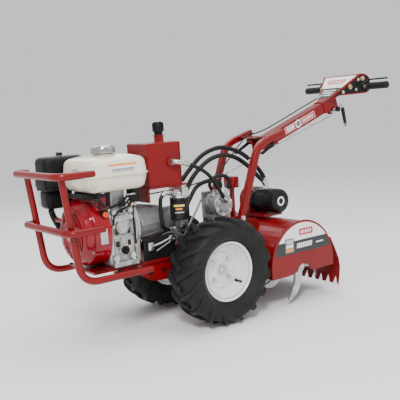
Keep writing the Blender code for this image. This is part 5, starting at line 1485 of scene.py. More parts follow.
@dataclass
class EngineTrim:
    """Castings and small parts on the carried block, head, cover and muffler.

    Attributes:
        left: Left face of the block.
        front: Front of the block.
        foot: Height of the foot.
        crank: Height of the crankshaft.
    """

    left: float = 0.105
    front: float = -0.4246
    foot: float = 0.284
    crank: float = 0.414

    def build(self) -> None:
        """Add what sits on the block, the cover and the head, then the wiring and the governor."""
        self._block_side()
        self._cover_and_head()
        self._wiring()
        self._governor()
        self._black_parts_and_recess_shade()
        self._brass_and_spring()
        self._exhaust_guard()

    def _block_side(self) -> None:
        """Add ribs, pads, bolts, the oil plug and the governor lid to the block's left side."""
        x = self.left
        rib = Shape("block_rib").block((x - 0.001, self.front + 0.016, 0.31),
            (x + 0.0045, self.front + 0.0195, 0.495), 0.0012, 1)
        ROW.grow(rib.loose(), CAST_METAL, Body.FRAME, Count=4, Step=(0.0, 0.025, 0.0))
        pads = Shape("block_pads")
        for y, z, r in ((-0.405, 0.318, 0.015), (-0.336, 0.318, 0.015), (-0.372, 0.345, 0.021),
                (-0.405, 0.486, 0.011), (-0.336, 0.486, 0.011), (-0.372, 0.43, 0.027)):
            pads.turned([(x - 0.002, 0.0), (x - 0.002, r + 0.003), (x + 0.004, r), (x + 0.0075, r - 0.001),
                (x + 0.0085, r - 0.003), (x + 0.0085, 0.0)], Axis.X, (0.0, y, z), 28)
        pads.block((x - 0.002, -0.416, 0.452), (x + 0.01, -0.328, 0.474), 0.003, 2)
        pads.block((x - 0.002, -0.42, 0.392), (x + 0.006, -0.322, 0.4), 0.002, 2)
        pads.hand_over(CAST_METAL, Body.FRAME, smooth_angle=40.0)
        bolt_heads("block_bolts", [((x + 0.0095, y, z), (1.0, 0.0, 0.0)) for y, z in ((-0.405, 0.318),
            (-0.336, 0.318), (-0.405, 0.486), (-0.336, 0.486), (-0.409, 0.463), (-0.335, 0.463))], 0.0062,
            ZINC, Body.FRAME)
        dipstick = Shape("oil_filler_plug")
        dipstick.turned([(x + 0.006, 0.0), (x + 0.006, 0.016), (x + 0.012, 0.0165), (x + 0.018, 0.015),
            (x + 0.018, 0.0)], Axis.X, (0.0, -0.372, 0.345), 12)
        dipstick.block((x + 0.016, -0.376, 0.333), (x + 0.024, -0.368, 0.357), 0.002, 2)
        dipstick.hand_over(BLACK_PLASTIC, Body.FRAME)
        lid = Shape("governor_lid").turned([(x + 0.006, 0.0), (x + 0.006, 0.022), (x + 0.011, 0.02),
            (x + 0.013, 0.01), (x + 0.013, 0.0)], Axis.X, (0.0, -0.372, 0.43), 32)
        lid.hand_over(CAST_METAL, Body.FRAME)
        feet = [(side * 0.113, y, self.foot + 0.0225) for side in (1, -1) for y in (-0.405, -0.335)]
        bolt_heads("engine_foot_bolts", top_places(feet), 0.0075, ZINC, Body.FRAME)

    def _cover_and_head(self) -> None:
        """Add the cover's bolts and flange, the head's fins, and the plug lead with its boot."""
        rim = round_places(Axis.Y, -0.2846, (0.0, self.crank), 0.097, list(range(10, 370, 45)))
        bolt_heads("cover_bolts", rim, 0.0062, ZINC, Body.FRAME)
        edge = Shape("cover_flange").turned([(-0.315, 0.1), (-0.315, 0.1085), (-0.31, 0.1095),
            (-0.306, 0.1085), (-0.306, 0.1)], Axis.Y, (0.0, 0.0, self.crank), 72, closed=True)
        edge.hand_over(CAST_METAL, Body.FRAME)
        fin = Shape("head_fin").block((-0.1925, -0.402, 0.4125), (-0.104, -0.322, 0.415), 0.0008, 1)
        ROW.grow(fin.loose(), CAST_METAL, Body.FRAME, Count=12, Step=(0.0, 0.0, 0.0092))
        lead = Shape("plug_lead").pipe(flowing([(-0.06, -0.44, 0.545), (-0.1, -0.462, 0.52),
            (-0.15, -0.47, 0.48), (-0.185, -0.44, 0.452), (-0.194, -0.395, 0.448),
            (-0.192, -0.372, 0.448)]), 0.0036, 12)
        lead.hand_over(HOSE_RUBBER, Body.FRAME)
        boot = Shape("plug_boot").turned([(-0.202, 0.0), (-0.202, 0.008), (-0.196, 0.0105), (-0.182, 0.01),
            (-0.176, 0.0085), (-0.176, 0.0)], Axis.X, (0.0, -0.366, 0.448), 20)
        boot.hand_over(BLACK_PLASTIC, Body.FRAME)

    def _wiring(self) -> None:
        """Run two cables under the tank's front, and add the tank's brackets."""
        loom = Shape("wiring_loom")
        loom.pipe(flowing([(-0.098, -0.482, 0.551), (-0.03, -0.496, 0.5535), (0.03, -0.498, 0.553),
            (0.085, -0.484, 0.548), (0.112, -0.462, 0.536), (0.121, -0.444, 0.512)]), 0.0058, 14)
        loom.pipe(flowing([(-0.102, -0.492, 0.546), (0.0, -0.503, 0.5455), (0.07, -0.495, 0.544),
            (0.108, -0.47, 0.52), (0.119, -0.452, 0.5)]), 0.0035, 10)
        loom.hand_over(HOSE_RUBBER, Body.FRAME, smooth_angle=60.0)
        bracket = Shape("tank_bracket")
        bracket.block((-0.06, -0.47, 0.5465), (0.12, -0.44, 0.5598), 0.0015, 1)
        bracket.block((0.03, -0.3, 0.506), (0.075, -0.27, 0.5598), 0.0015, 1)
        bracket.hand_over(BLACK_PAINT, Body.FRAME)

    def _governor(self) -> None:
        """Bend the governor's rods and arm beside the block."""
        rods = Shape("governor_rods")
        rods.pipe(flowing([(0.094, -0.33, 0.512), (0.06, -0.345, 0.5285), (0.0, -0.36, 0.532),
            (-0.07, -0.375, 0.52)]), 0.0016, 8)
        rods.pipe(flowing([(0.096, -0.32, 0.5), (0.1, -0.312, 0.52), (0.086, -0.306, 0.536)]), 0.0016, 8)
        rods.hand_over(ZINC, Body.FRAME, smooth_angle=60.0)
        arm = Shape("governor_arm")
        arm.block((0.086, -0.338, 0.5), (0.1, -0.3, 0.5035), 0.001, 1)
        arm.block((0.0985, -0.352, 0.4985), (0.1015, -0.302, 0.532), 0.001, 1)
        arm.hand_over(ZINC, Body.FRAME)

    def _black_parts_and_recess_shade(self) -> None:
        """Add hoses and small covers beside the block, and black patches on its side that paint the shade of
        its recesses.
        """
        x = self.left
        dark = Shape("block_hoses")
        dark.pipe(flowing([(0.098, -0.318, 0.54), (0.112, -0.33, 0.52), (0.1165, -0.352, 0.5),
            (0.1175, -0.385, 0.492), (0.117, -0.408, 0.47), (0.1165, -0.414, 0.44)]), 0.004, 12)
        dark.pipe(flowing([(0.082, -0.292, 0.545), (0.1, -0.306, 0.528), (0.1155, -0.326, 0.492),
            (0.118, -0.33, 0.44), (0.116, -0.326, 0.39), (0.113, -0.322, 0.35)]), 0.003, 12)
        dark.pipe(flowing([(0.118, -0.425, 0.505), (0.1195, -0.402, 0.512), (0.118, -0.372, 0.52),
            (0.108, -0.345, 0.5375)]), 0.0046, 12)
        dark.block((0.1085, -0.386, 0.504), (0.118, -0.356, 0.525), 0.003, 2)
        dark.block((0.07, -0.33, 0.512), (0.108, -0.292, 0.542), 0.005, 2)
        dark.hand_over(BLACK_PLASTIC, Body.FRAME, smooth_angle=55.0)
        # Painted shade: thin black patches on the block's side, where its recesses fall in shade.
        painted_recess_shade = Shape("block_recesses")
        for y, z in ((-0.3955, 0.413), (-0.348, 0.413), (-0.3955, 0.3685), (-0.348, 0.3685)):
            painted_recess_shade.block((x - 0.002, y - 0.0085, z - 0.0105), (x + 0.0012, y + 0.0085, z + 0.0105), 0.001,
                1)
        for y in (-0.4, -0.372, -0.344):
            painted_recess_shade.block((x - 0.002, y - 0.009, 0.4795), (x + 0.0016, y + 0.009, 0.49), 0.001, 1)
        painted_recess_shade.hand_over(BLACK_PAINT, Body.FRAME)

    def _brass_and_spring(self) -> None:
        """Add brass fittings on the block's side and the governor's coil spring."""
        x = self.left
        brass = Shape("brass_fittings")
        for y, z, r in ((-0.415, 0.436, 0.0058), (-0.326, 0.356, 0.0052), (-0.33, 0.5085, 0.006)):
            brass.turned([(x + 0.004, 0.0), (x + 0.004, r), (x + 0.0165, r), (x + 0.0165, 0.0)], Axis.X,
                (0.0, y, z), 6)
        brass.hand_over(GOLD_ZINC, Body.FRAME)
        spring = Shape("governor_spring")
        coil_radius, turn, pitch = 0.0034, 1.25, 0.0009
        coil = [Vector((0.112 + coil_radius * math.cos(turn * n), -0.35 + pitch * n,
            0.544 + coil_radius * math.sin(turn * n))) for n in range(46)]
        spring.pipe(coil, 0.001, 6)
        spring.hand_over(ZINC, Body.FRAME, smooth_angle=60.0)

    def _exhaust_guard(self) -> None:
        """Set a row of slats on the muffler's outer side."""
        guard = Shape("exhaust_guard")
        slot = guard.block((-0.232, -0.345, 0.555), (-0.23, -0.275, 0.5575), 0.0008, 1)
        ROW.grow(slot.loose(), BLACK_PAINT, Body.FRAME, Count=14, Step=(0.0, 0.0, 0.0085))


# ---------------------------------------------------------------- hydraulics and wheel drive


@dataclass
class HoseLine:
    """One hose with a crimped collar and a hex nut at each end.

    Attributes:
        name: Name of the node it stands for; the piece is called the same after "line_".
        spots: Points that its middle passes.
        radius: Radius of the hose.
        finish_ends: Whether it has metal fittings.
    """

    name: str
    spots: tuple[Point, ...]
    radius: float
    finish_ends: bool = True

    def build(self) -> None:
        """Build the hose and its fittings."""
        route = flowing(list(self.spots), 8)
        hose = Shape(f"line_{self.name}").pipe(route, self.radius, 18, 0.0008)
        hose.hand_over(HOSE_RUBBER, Body.FRAME, (self.name,), smooth_angle=70.0)
        if not self.finish_ends:
            return
        ends = Shape(f"fittings_{self.name}")
        nuts = Shape(f"nuts_{self.name}")
        for run in (route, route[::-1]):
            start = run[0]
            sleeve, total = [start], 0.0
            for a, b in zip(run, run[1:]):
                total += (b - a).length
                sleeve.append(b)
                if total > 4.4 * self.radius:
                    break
            ends.pipe(sleeve, self.radius + 0.0016, 20, 0.0008)
            way = (run[1] - run[0]).normalized()
            nuts.bar(start + way * 0.001, start + way * 0.009, self.radius + 0.0038, 6, 0.0008)
        ends.hand_over(ZINC, Body.FRAME, smooth_angle=50.0)
        nuts.hand_over(ZINC, Body.FRAME, smooth_angle=20.0)


@dataclass
class Hydraulics:
    """Reservoir, pump, filter, wheel motor and the hoses between them.

    Attributes:
        tank_half: Half the reservoir's width.
        tank_front: Front of the reservoir.
        tank_rear: Rear of the reservoir.
        tank_base: Its lowest face.
        tank_top: Its highest face.
        filter_spot: Where the filter hangs.
        filter_radius: Radius of the filter.
        motor_spot: Where the wheel motor's shaft is, seen from the side.
    """

    tank_half: float = 0.07
    tank_front: float = -0.219
    tank_rear: float = -0.069
    tank_base: float = 0.548
    tank_top: float = 0.717
    filter_spot: Spot = (0.095, -0.105)
    filter_radius: float = 0.038
    motor_spot: Spot = (0.122, 0.44)
    hoses: tuple[HoseLine, ...] = (HoseLine("return_hose", ((0.0795, -0.114, 0.64), (0.098, -0.113, 0.64),
        (0.117, -0.065, 0.627), (0.122, -0.015, 0.604), (0.117, 0.03, 0.575), (0.113, 0.065, 0.535),
        (0.111, 0.095, 0.492), (0.106, 0.12, 0.461), (0.0894, 0.122, 0.459)), 0.0075),
        HoseLine("suction_hose", ((0.085, -0.142, 0.524), (0.085, -0.162, 0.524), (0.086, -0.182, 0.509),
        (0.087, -0.188, 0.48), (0.087, -0.188, 0.43), (0.08, -0.178, 0.398), (0.066, -0.15, 0.38),
        (0.056, -0.124, 0.378), (0.055, -0.1062, 0.378)), 0.0075), HoseLine("tine_hose_upper",
        ((-0.005, -0.056, 0.4608), (-0.005, -0.055, 0.5), (0.0, -0.03, 0.54), (0.0, 0.02, 0.59),
        (0.0, 0.082, 0.6395), (0.0, 0.14, 0.663), (0.0, 0.2015, 0.669), (0.0, 0.27, 0.652),
        (0.002, 0.328, 0.6215), (0.01, 0.38, 0.573), (0.02, 0.408, 0.53), (0.024, 0.414, 0.5),
        (0.024, 0.414, 0.4745)), 0.0095), HoseLine("tine_hose_lower", ((0.03, -0.048, 0.4566),
        (0.031, -0.048, 0.48), (0.04, -0.025, 0.52), (0.045, 0.0, 0.5613), (0.045, 0.045, 0.6),
        (0.045, 0.1, 0.63), (0.045, 0.164, 0.641), (0.045, 0.225, 0.628), (0.045, 0.28, 0.598),
        (0.046, 0.32, 0.566), (0.05, 0.358, 0.528), (0.057, 0.386, 0.498), (0.058, 0.388, 0.4745)), 0.0095),
        HoseLine("throttle_cable", ((0.02, 0.82, 0.868), (0.018, 0.76, 0.845), (0.015, 0.68, 0.815),
        (0.012, 0.56, 0.77), (0.008, 0.46, 0.733), (0.0, 0.4, 0.7165), (-0.012, 0.362, 0.7115),
        (-0.028, 0.322, 0.67), (-0.045, 0.2, 0.555), (-0.06, 0.1, 0.525), (-0.078, 0.0, 0.512),
        (-0.092, -0.12, 0.505), (-0.092, -0.24, 0.503), (-0.088, -0.29, 0.497), (-0.086, -0.313, 0.488)),
        0.0028, False),)

    def build(self) -> None:
        """Build every part of the hydraulic drive."""
        self._reservoir()
        self._breather()
        self._filter()
        self._pump()
        self._wheel_motor()
        self._valves()
        self._linkage()
        for line in self.hoses:
            line.build()

    def _reservoir(self) -> None:
        """Add welds, a filler collar, base bolts and the elbow to the carried reservoir."""
        welds = Shape("reservoir_welds")
        for x in (self.tank_half, -self.tank_half):
            for y in (self.tank_front, self.tank_rear):
                welds.bar((x * 0.995, y, self.tank_base + 0.004), (x * 0.995, y, self.tank_top - 0.002),
                    0.0022, 8)
        welds.turned([(self.tank_top - 0.0005, 0.018), (self.tank_top - 0.0005, 0.0225),
            (self.tank_top + 0.003, 0.0205), (self.tank_top + 0.0035, 0.018)], Axis.Z, (0.0, -0.116, 0.0),
            36, closed=True)
        welds.hand_over(POWDER_COAT, Body.FRAME, smooth_angle=60.0)
        collar = Shape("filler_collar").turned([(self.tank_top + 0.0235, 0.0188),
            (self.tank_top + 0.0235, 0.0215), (self.tank_top + 0.0275, 0.0215),
            (self.tank_top + 0.0275, 0.0188)], Axis.Z, (0.0, -0.116, 0.0), 36, closed=True)
        collar.hand_over(POWDER_COAT, Body.FRAME)
        base = [(x, -0.056, self.tank_base + 0.0035) for x in (0.058, 0.02, -0.02, -0.058)]
        bolt_heads("reservoir_bolts", top_places(base), 0.0065, ZINC, Body.FRAME)
        elbow = Shape("return_elbow")
        elbow.bar((0.0765, -0.114, 0.64), (0.086, -0.114, 0.64), 0.0125, 6, 0.0006)
        elbow.pipe(flowing([(0.08, -0.114, 0.64), (0.099, -0.1125, 0.64), (0.111, -0.085, 0.6345),
            (0.1175, -0.062, 0.6262)]), 0.0094, 20, 0.0006)
        elbow.hand_over(ZINC, Body.FRAME, smooth_angle=50.0)

    def _breather(self) -> None:
        """Turn the ribbed breather cap."""
        z = self.tank_top + 0.028
        cap = Shape("breather_dome").turned([(z + 0.0005, 0.0), (z + 0.0005, 0.016), (z + 0.013, 0.018),
            (z + 0.014, 0.0238), (z + 0.02, 0.024), (z + 0.022, 0.0212), (z + 0.045, 0.0208),
            (z + 0.0495, 0.018), (z + 0.051, 0.012), (z + 0.051, 0.0)], Axis.Z, (0.0, -0.116, 0.0), 48)
        cap.hand_over(BLACK_PLASTIC, Body.FILLER_CAP, ("breather_cap",), smooth_angle=40.0)
        rib = Shape("breather_ribs").block((0.02, -0.1172, z + 0.0225), (0.0226, -0.1148, z + 0.045),
            0.0006, 1)
        RING.grow(rib.loose(), BLACK_PLASTIC, Body.FILLER_CAP, Count=24, Axis=(0.0, 0.0, 1.0),
            Centre=(0.0, -0.116, 0.0), Start=0.0)

    def _filter(self) -> None:
        """Build the filter head with its ports, and the spin-on filter with its printed bands."""
        x, y = self.filter_spot
        head = Shape("filter_head_casting")
        head.slab(rounded_box_outline((x - 0.04, y - 0.034), (x + 0.04, y + 0.034), 0.03, 8), Axis.Z,
            0.5026, 0.526, 0.003)
        head.block((x - 0.045, y - 0.016, 0.508), (x + 0.045, y + 0.016, 0.5435), 0.004, 2)
        head.block((x - 0.02, y - 0.0355, 0.512), (x + 0.02, y + 0.0355, 0.536), 0.004, 2)
        for side in (1, -1):
            head.turned([(x + side * 0.03, 0.0), (x + side * 0.03, 0.0125), (x + side * 0.0455, 0.0125),
                (x + side * 0.0455, 0.0)], Axis.X, (0.0, y, 0.524), 24)
        head.hand_over(ZINC, Body.FRAME, ("filter_head",), smooth_angle=35.0)
        can = Shape("spin_on_filter")
        r = self.filter_radius
        can.turned([(0.414, 0.0), (0.414, r - 0.014), (0.4155, r - 0.008), (0.42, r - 0.002),
            (0.426, r - 0.0004), (0.49, r - 0.0004), (0.4915, r - 0.002), (0.493, r - 0.0004), (0.499, r),
            (0.5015, r - 0.003), (0.5015, 0.0)], Axis.Z, (x, y, 0.0), 64)
        can.hand_over(BLACK_PAINT, Body.FRAME, ("oil_filter",), smooth_angle=35.0)
        flat = Shape("filter_flats").block((x + r - 0.004, y - 0.0035, 0.4165),
            (x + r - 0.0006, y + 0.0035, 0.426), 0.0008, 1)
        RING.grow(flat.loose(), BLACK_PAINT, Body.FRAME, Count=16, Axis=(0.0, 0.0, 1.0), Centre=(x, y, 0.0),
            Start=0.0)
        for tag, low, high, start, end, finish in (("yellow", 0.47, 0.478, -70, -5, DECAL_YELLOW),
                ("orange", 0.458, 0.464, -60, -20, DECAL_ORANGE),
                ("pale", 0.446, 0.45, -66, -10, DECAL_SILVER)):
            band = Shape(f"filter_band_{tag}")
            outer = arc((x, y), r + 0.0003, start, end, 16)
            inner = arc((x, y), r - 0.0012, end, start, 16)
            band.slab(outer + inner, Axis.Z, low, high)
            band.hand_over(finish, Body.FRAME)

    def _pump(self) -> None:
        """Add ribs, flange bolts and ports to the carried bell housing and pump."""
        rib = Shape("bell_ribs").slab([(-0.276, 0.414 + 0.07), (-0.276, 0.414 + 0.0795),
            (-0.2, 0.414 + 0.07), (-0.152, 0.414 + 0.06), (-0.152, 0.414 + 0.054)], Axis.X, -0.002, 0.002)
        RING.grow(rib.loose(), GREY_METAL, Body.FRAME, Count=10, Axis=(0.0, 1.0, 0.0),
            Centre=(0.0, 0.0, 0.414), Start=0.3)
        ring = round_places(Axis.Y, -0.1535, (0.0, 0.414), 0.0525, [45 + 90 * k for k in range(4)])
        bolt_heads("pump_flange_bolts", ring, 0.0065, ZINC, Body.FRAME)
        lobes = Shape("pump_end_cover")
        lobes.turned([(-0.05, 0.0), (-0.05, 0.0478), (-0.044, 0.0485), (-0.034, 0.046), (-0.032, 0.03),
            (-0.032, 0.0)], Axis.Y, (0.0, 0.0, 0.414), 48)
        lobes.hand_over(GREY_METAL, Body.FRAME)
        ports = Shape("pump_ports")
        ports.turned([(0.0655, 0.0), (0.0655, 0.015), (0.072, 0.015), (0.072, 0.0)], Axis.X,
            (0.0, -0.078, 0.384), 6)
        ports.turned([(0.072, 0.0), (0.072, 0.01), (0.08, 0.0095), (0.08, 0.0)], Axis.X,
            (0.0, -0.078, 0.384), 24)
        ports.turned([(0.458, 0.0), (0.458, 0.0135), (0.4645, 0.0135), (0.4645, 0.0)], Axis.Z,
            (-0.005, -0.056, 0.0), 6)
        ports.hand_over(ZINC, Body.FRAME)

    def _wheel_motor(self) -> None:
        """Add cooling fins, an end cover and its bolts to the carried wheel motor."""
        y, z = self.motor_spot
        centre = (0.0, y, z)
        fin = Shape("wheel_motor_fins").turned([(0.02, 0.044), (0.02, 0.0495), (0.0232, 0.0495),
            (0.0232, 0.044)], Axis.X, centre, 56, closed=True)
        ROW.grow(fin.loose(), GREY_METAL, Body.FRAME, Count=6, Step=(0.0085, 0.0, 0.0))
        end = Shape("wheel_motor_cover").turned([(0.08, 0.0), (0.08, 0.047), (0.086, 0.0475),
            (0.0885, 0.045), (0.0885, 0.03), (0.0915, 0.027), (0.0915, 0.0)], Axis.X, centre, 56)
        end.hand_over(GREY_METAL, Body.FRAME)
        places = round_places(Axis.X, 0.0886, self.motor_spot, 0.0375, [20 + 60 * k for k in range(6)])
        bolt_heads("wheel_motor_bolts", places, 0.006, ZINC, Body.FRAME)

    def _valves(self) -> None:
        """Set the valve block with its elbows, short hoses, bracket and spools on the wheel motor."""
        y, z = self.motor_spot
        elbows = Shape("valve_elbows")
        for dy, dz in ((-0.03, 0.052), (0.006, 0.056), (0.036, 0.046)):
            bend = flowing([(0.052, y + dy * 0.6, z + 0.03), (0.056, y + dy, z + dz),
                (0.062, y + dy * 1.25, z + dz + 0.014)])
            elbows.pipe(bend, 0.0088, 18, 0.0008)
            elbows.bar((0.053, y + dy * 0.75, z + 0.04), (0.056, y + dy, z + dz), 0.0118, 6, 0.0006)
        elbows.hand_over(ZINC, Body.FRAME, smooth_angle=50.0)
        short = Shape("valve_hoses")
        short.pipe(flowing([(0.062, y + 0.045, z + 0.06), (0.068, y + 0.052, z + 0.09),
            (0.07, y + 0.03, z + 0.116), (0.066, y - 0.015, z + 0.118), (0.06, y - 0.045, z + 0.092),
            (0.06, y - 0.0375, z + 0.066)]), 0.0075, 16, 0.0008)
        short.pipe(flowing([(0.062, y + 0.0075, z + 0.07), (0.062, y + 0.004, z + 0.092),
            (0.052, y - 0.04, z + 0.104), (0.04, y - 0.095, z + 0.086), (0.034, y - 0.13, z + 0.04),
            (0.034, y - 0.15, z + 0.01)]), 0.0085, 16, 0.0008)
        short.hand_over(HOSE_RUBBER, Body.FRAME, smooth_angle=70.0)
        block = Shape("valve_block")
        block.block((0.028, y - 0.04, z + 0.018), (0.072, y + 0.034, z + 0.044), 0.005, 2)
        block.block((0.036, y - 0.052, z - 0.01), (0.066, y - 0.03, z + 0.034), 0.004, 2)
        block.hand_over(CAST_METAL, Body.FRAME)
        bracket = Shape("rod_bracket")
        bracket.block((0.0, 0.198, 0.498), (0.058, 0.236, 0.545), 0.004, 2)
        bracket.block((0.022, 0.208, 0.29), (0.038, 0.226, 0.5), 0.002, 1)
        bracket.hand_over(POWDER_COAT, Body.FRAME)
        spool = Shape("valve_spools")
        for dy in (-0.02, 0.012):
            spool.turned([(0.07, 0.0), (0.07, 0.0085), (0.084, 0.0085), (0.086, 0.006), (0.094, 0.006),
                (0.094, 0.0)], Axis.X, (0.0, y + dy, z + 0.03), 20)
        spool.hand_over(ZINC, Body.FRAME)

    def _linkage(self) -> None:
        """Set the drive linkage beside the engine deck: two rods, two end blocks and a plate."""
        link = Shape("drive_linkage")
        link.pipe(flowing([(0.112, -0.262, 0.336), (0.114, -0.22, 0.342), (0.114, -0.17, 0.356)]), 0.0045,
            14)
        link.bar((0.111, -0.235, 0.316), (0.111, -0.15, 0.35), 0.0035, 12)
        link.block((0.1065, -0.272, 0.322), (0.1165, -0.248, 0.352), 0.002, 2)
        link.block((0.1065, -0.176, 0.342), (0.1165, -0.158, 0.366), 0.002, 2)
        link.hand_over(ZINC, Body.FRAME, smooth_angle=40.0)
        plate = Shape("linkage_plate")
        plate.slab([(-0.285, 0.283), (-0.285, 0.352), (-0.262, 0.366), (-0.15, 0.372), (-0.14, 0.35),
            (-0.15, 0.283)], Axis.X, 0.0985, 0.1035)
        plate.hand_over(BLACK_PAINT, Body.FRAME)


@dataclass
class DriveChain:
    """The roller chain from the wheel motor to the axle.

    Attributes:
        small_spot: Middle of the motor's sprocket, seen from the side.
        small: Radius of the chain's middle round it.
        large: Radius of the chain's middle round the axle's sprocket.
        middle: Its distance from the machine's middle.
        links: Number of plates along it.
    """

    small_spot: Spot = (0.122, 0.44)
    small: float = 0.0312
    large: float = 0.0635
    middle: float = -0.031
    links: int = 68

    def build(self) -> None:
        """Run the link tree along the chain's loop."""
        large_spot = (0.0, AXLE_Z)
        gap = Vector(self.small_spot) - Vector(large_spot)
        heading = math.degrees(math.atan2(gap.y, gap.x))
        open_by = math.degrees(math.acos((self.large - self.small) / gap.length))
        loop = [*arc(self.small_spot, self.small, heading - open_by, heading + open_by, 16),
            *arc(large_spot, self.large, heading + open_by, heading + 360 - open_by, 30)]
        data = bpy.data.meshes.new("chain_plates")
        count = len(loop)
        data.from_pydata([(self.middle, y, z) for y, z in loop],
            [(k, (k + 1) % count) for k in range(count)], [])
        host = bpy.data.objects.new("chain_plates", data)
        bpy.context.scene.collection.objects.link(host)
        LINKS.grow(host, ZINC, Body.FRAME, ("drive_chain",), Count=self.links, Link_Length=0.0098,
            Link_Width=0.0076, Link_Height=0.0068)


# ---------------------------------------------------------------- tine head


@dataclass
class TineHead:
    """Hood, flap, chain case, tine motor and the tines.

    Attributes:
        shaft: Place of the tine shaft, seen from the side.
        hood: Middle of the hood's curve, seen from the side.
        radius: Radius of the hood's side plates.
        half: Half the hood's width.
        hood_foot: Height of the side plates' lower edge.
        motor: Place of the tine motor, seen from the side.
        motor_radius: Its radius.
        motor_end: Where its outer face is.
        reach: Radius of the tine tips.
        lag: How far a tine's tip lags its foot, in radians.
        sets: Name, body side and places of the tine flanges of each set.
    """

    shaft: Spot = (0.398, 0.16)
    hood: Spot = (0.398, 0.17)
    radius: float = 0.182
    half: float = 0.257
    hood_foot: float = 0.132
    motor: Spot = (0.412, 0.4205)
    motor_radius: float = 0.053
    motor_end: float = 0.122
    reach: float = 0.1592
    lag: float = 0.55
    sets: tuple[TineSet, ...] = (("left", -0.016, 0.233, (0.045, 0.13, 0.214)),
        ("right", -0.233, -0.089, (-0.13, -0.214)))

    def build(self) -> None:
        """Build the hood's trim, the labels, the motor and the tines."""
        self._hood()
        for side, tag in ((1, "left"), (-1, "right")):
            self._label(side, tag)
            self._label_marks(side, tag)
        self._motor()
        for tag, low, high, places in self.sets:
            self._tines(tag, low, high, places)

    def _hood(self) -> None:
        """Add rolled rims, hinge knuckles, shaft bearings and mounts to the carried hood and flap."""
        trim = Shape("hood_rims")
        for side in (1, -1):
            x = side * (self.half - 0.002)
            rim = [Vector((x, y, z)) for y, z in arc(self.hood, self.radius - 0.0015, 20, 180, 60)]
            trim.pipe(rim, 0.0022, 8)
            for front, rear in ((self.hood[0] - self.radius + 0.002, self.shaft[0] - 0.075),
                    (self.shaft[0] + 0.056, self.hood[0] + self.radius - 0.004)):
                trim.bar((x, front, self.hood_foot), (x, rear, self.hood_foot), 0.0022, 8)
        trim.hand_over(POWDER_COAT, Body.FRAME, smooth_angle=60.0)
        hinge_y = self.hood[0] + self.radius * math.cos(math.radians(24)) + 0.0075
        hinge_z = self.hood[1] + self.radius * math.sin(math.radians(24)) + 0.002
        knuckle = Shape("flap_knuckles").turned([(-0.245, 0.0), (-0.245, 0.0062), (-0.205, 0.0062),
            (-0.205, 0.0)], Axis.X, (0.0, hinge_y, hinge_z), 20)
        ROW.grow(knuckle.loose(), POWDER_COAT, Body.FLAP, Count=6, Step=(0.09, 0.0, 0.0))
        bearing = Shape("tine_shaft_bearings")
        for side in (1, -1):
            bearing.turned([(side * 0.2372, 0.0), (side * 0.2372, 0.0145), (side * 0.244, 0.015),
                (side * 0.2465, 0.012), (side * 0.2465, 0.0)], Axis.X, (0.0, *self.shaft), 28)
        bearing.hand_over(ZINC, Body.TINES)
        struts = Shape("hood_mounts")
        struts.block((-0.1, 0.206, 0.246), (0.1, 0.222, 0.3), 0.002, 1)
        struts.block((0.03, 0.25, 0.3), (0.06, 0.33, 0.3545), 0.003, 1)
        struts.hand_over(POWDER_COAT, Body.FRAME)

    def _decal(self, name: str, side: int, lift: float, outline: list[Spot]) -> Shape:
        """Start a flat decal on one side plate.

        Args:
            name: Name of the piece.
            side: 1 for the left plate and -1 for the right.
            lift: How far its face stands off the plate.
            outline: Its outline, seen from the side.

        Returns:
            The shape, not yet handed over.
        """
        low, high = sorted((side * (self.half - 0.002), side * (self.half + lift)))
        return Shape(name).slab(outline, Axis.X, low, high)

    def _leaning(self, start: float, end: float, low: float, high: float, lean: float) -> list:
        """Outline of a flat mark on the side plate, its upper edge shifted rearwards by the lean."""
        y0 = self.hood[0]
        return [(y0 + start, low), (y0 + end, low), (y0 + end + lean, high), (y0 + start + lean, high)]

    def _label(self, side: int, tag: str) -> None:
        """Lay the white cap, the dark band under it and the red badge with its strokes on a side plate."""
        y0 = self.hood[0]
        edge = self.radius - 0.009
        upper, lower = 0.272, 0.2195
        wide = math.degrees(math.asin((upper - self.hood[1]) / edge))
        low_wide = math.degrees(math.asin((lower - self.hood[1]) / edge))
        white = self._decal(f"hood_cap_{tag}", side, 0.0004, arc(self.hood, edge, wide, 180 - wide, 48))
        white.hand_over(DECAL_WHITE, Body.FRAME)
        dark = [*arc(self.hood, edge, low_wide, wide, 8),
            *arc(self.hood, edge, 180 - wide, 180 - low_wide, 8)]
        self._decal(f"hood_band_{tag}", side, 0.0004, dark).hand_over(DECAL_DARK, Body.FRAME)
        patch = rounded_box_outline((y0 - 0.022, 0.29), (y0 + 0.06, 0.318), 0.006)
        self._decal(f"hood_badge_{tag}", side, 0.0007, patch).hand_over(DECAL_RED, Body.FRAME)
        stroke = self._leaning(-0.013, -0.005, 0.297, 0.311, 0.002)
        strokes = self._decal(f"hood_strokes_{tag}", side, 0.001, stroke)
        ROW.grow(strokes.loose(), DECAL_WHITE, Body.FRAME, Count=5, Step=(0.0, 0.0135, 0.0))

    def _label_marks(self, side: int, tag: str) -> None:
        """Lay the grey square with three lines, the row of bars and a fine line on a side plate."""
        square = self._decal(f"hood_square_{tag}", side, 0.0007,
            self._leaning(-0.104, -0.054, 0.226, 0.286, 0.0))
        square.hand_over(DECAL_GREY, Body.FRAME)
        for n, (base, top, finish) in enumerate(((0.231, 0.243, DECAL_ORANGE), (0.247, 0.259, DECAL_WHITE),
                (0.263, 0.281, DECAL_SILVER))):
            line = self._decal(f"hood_square_line_{tag}_{n}", side, 0.001,
                self._leaning(-0.099, -0.059, base, top, 0.0))
            line.hand_over(finish, Body.FRAME)
        bars = self._decal(f"hood_bars_{tag}", side, 0.0007,
            self._leaning(-0.038, -0.029, 0.238, 0.259, 0.003))
        ROW.grow(bars.loose(), DECAL_WHITE, Body.FRAME, Count=8, Step=(0.0, 0.0115, 0.0))
        fine = self._decal(f"hood_fine_line_{tag}", side, 0.0007,
            self._leaning(0.078, 0.122, 0.244, 0.25, 0.001))
        fine.hand_over(DECAL_WHITE, Body.FRAME)

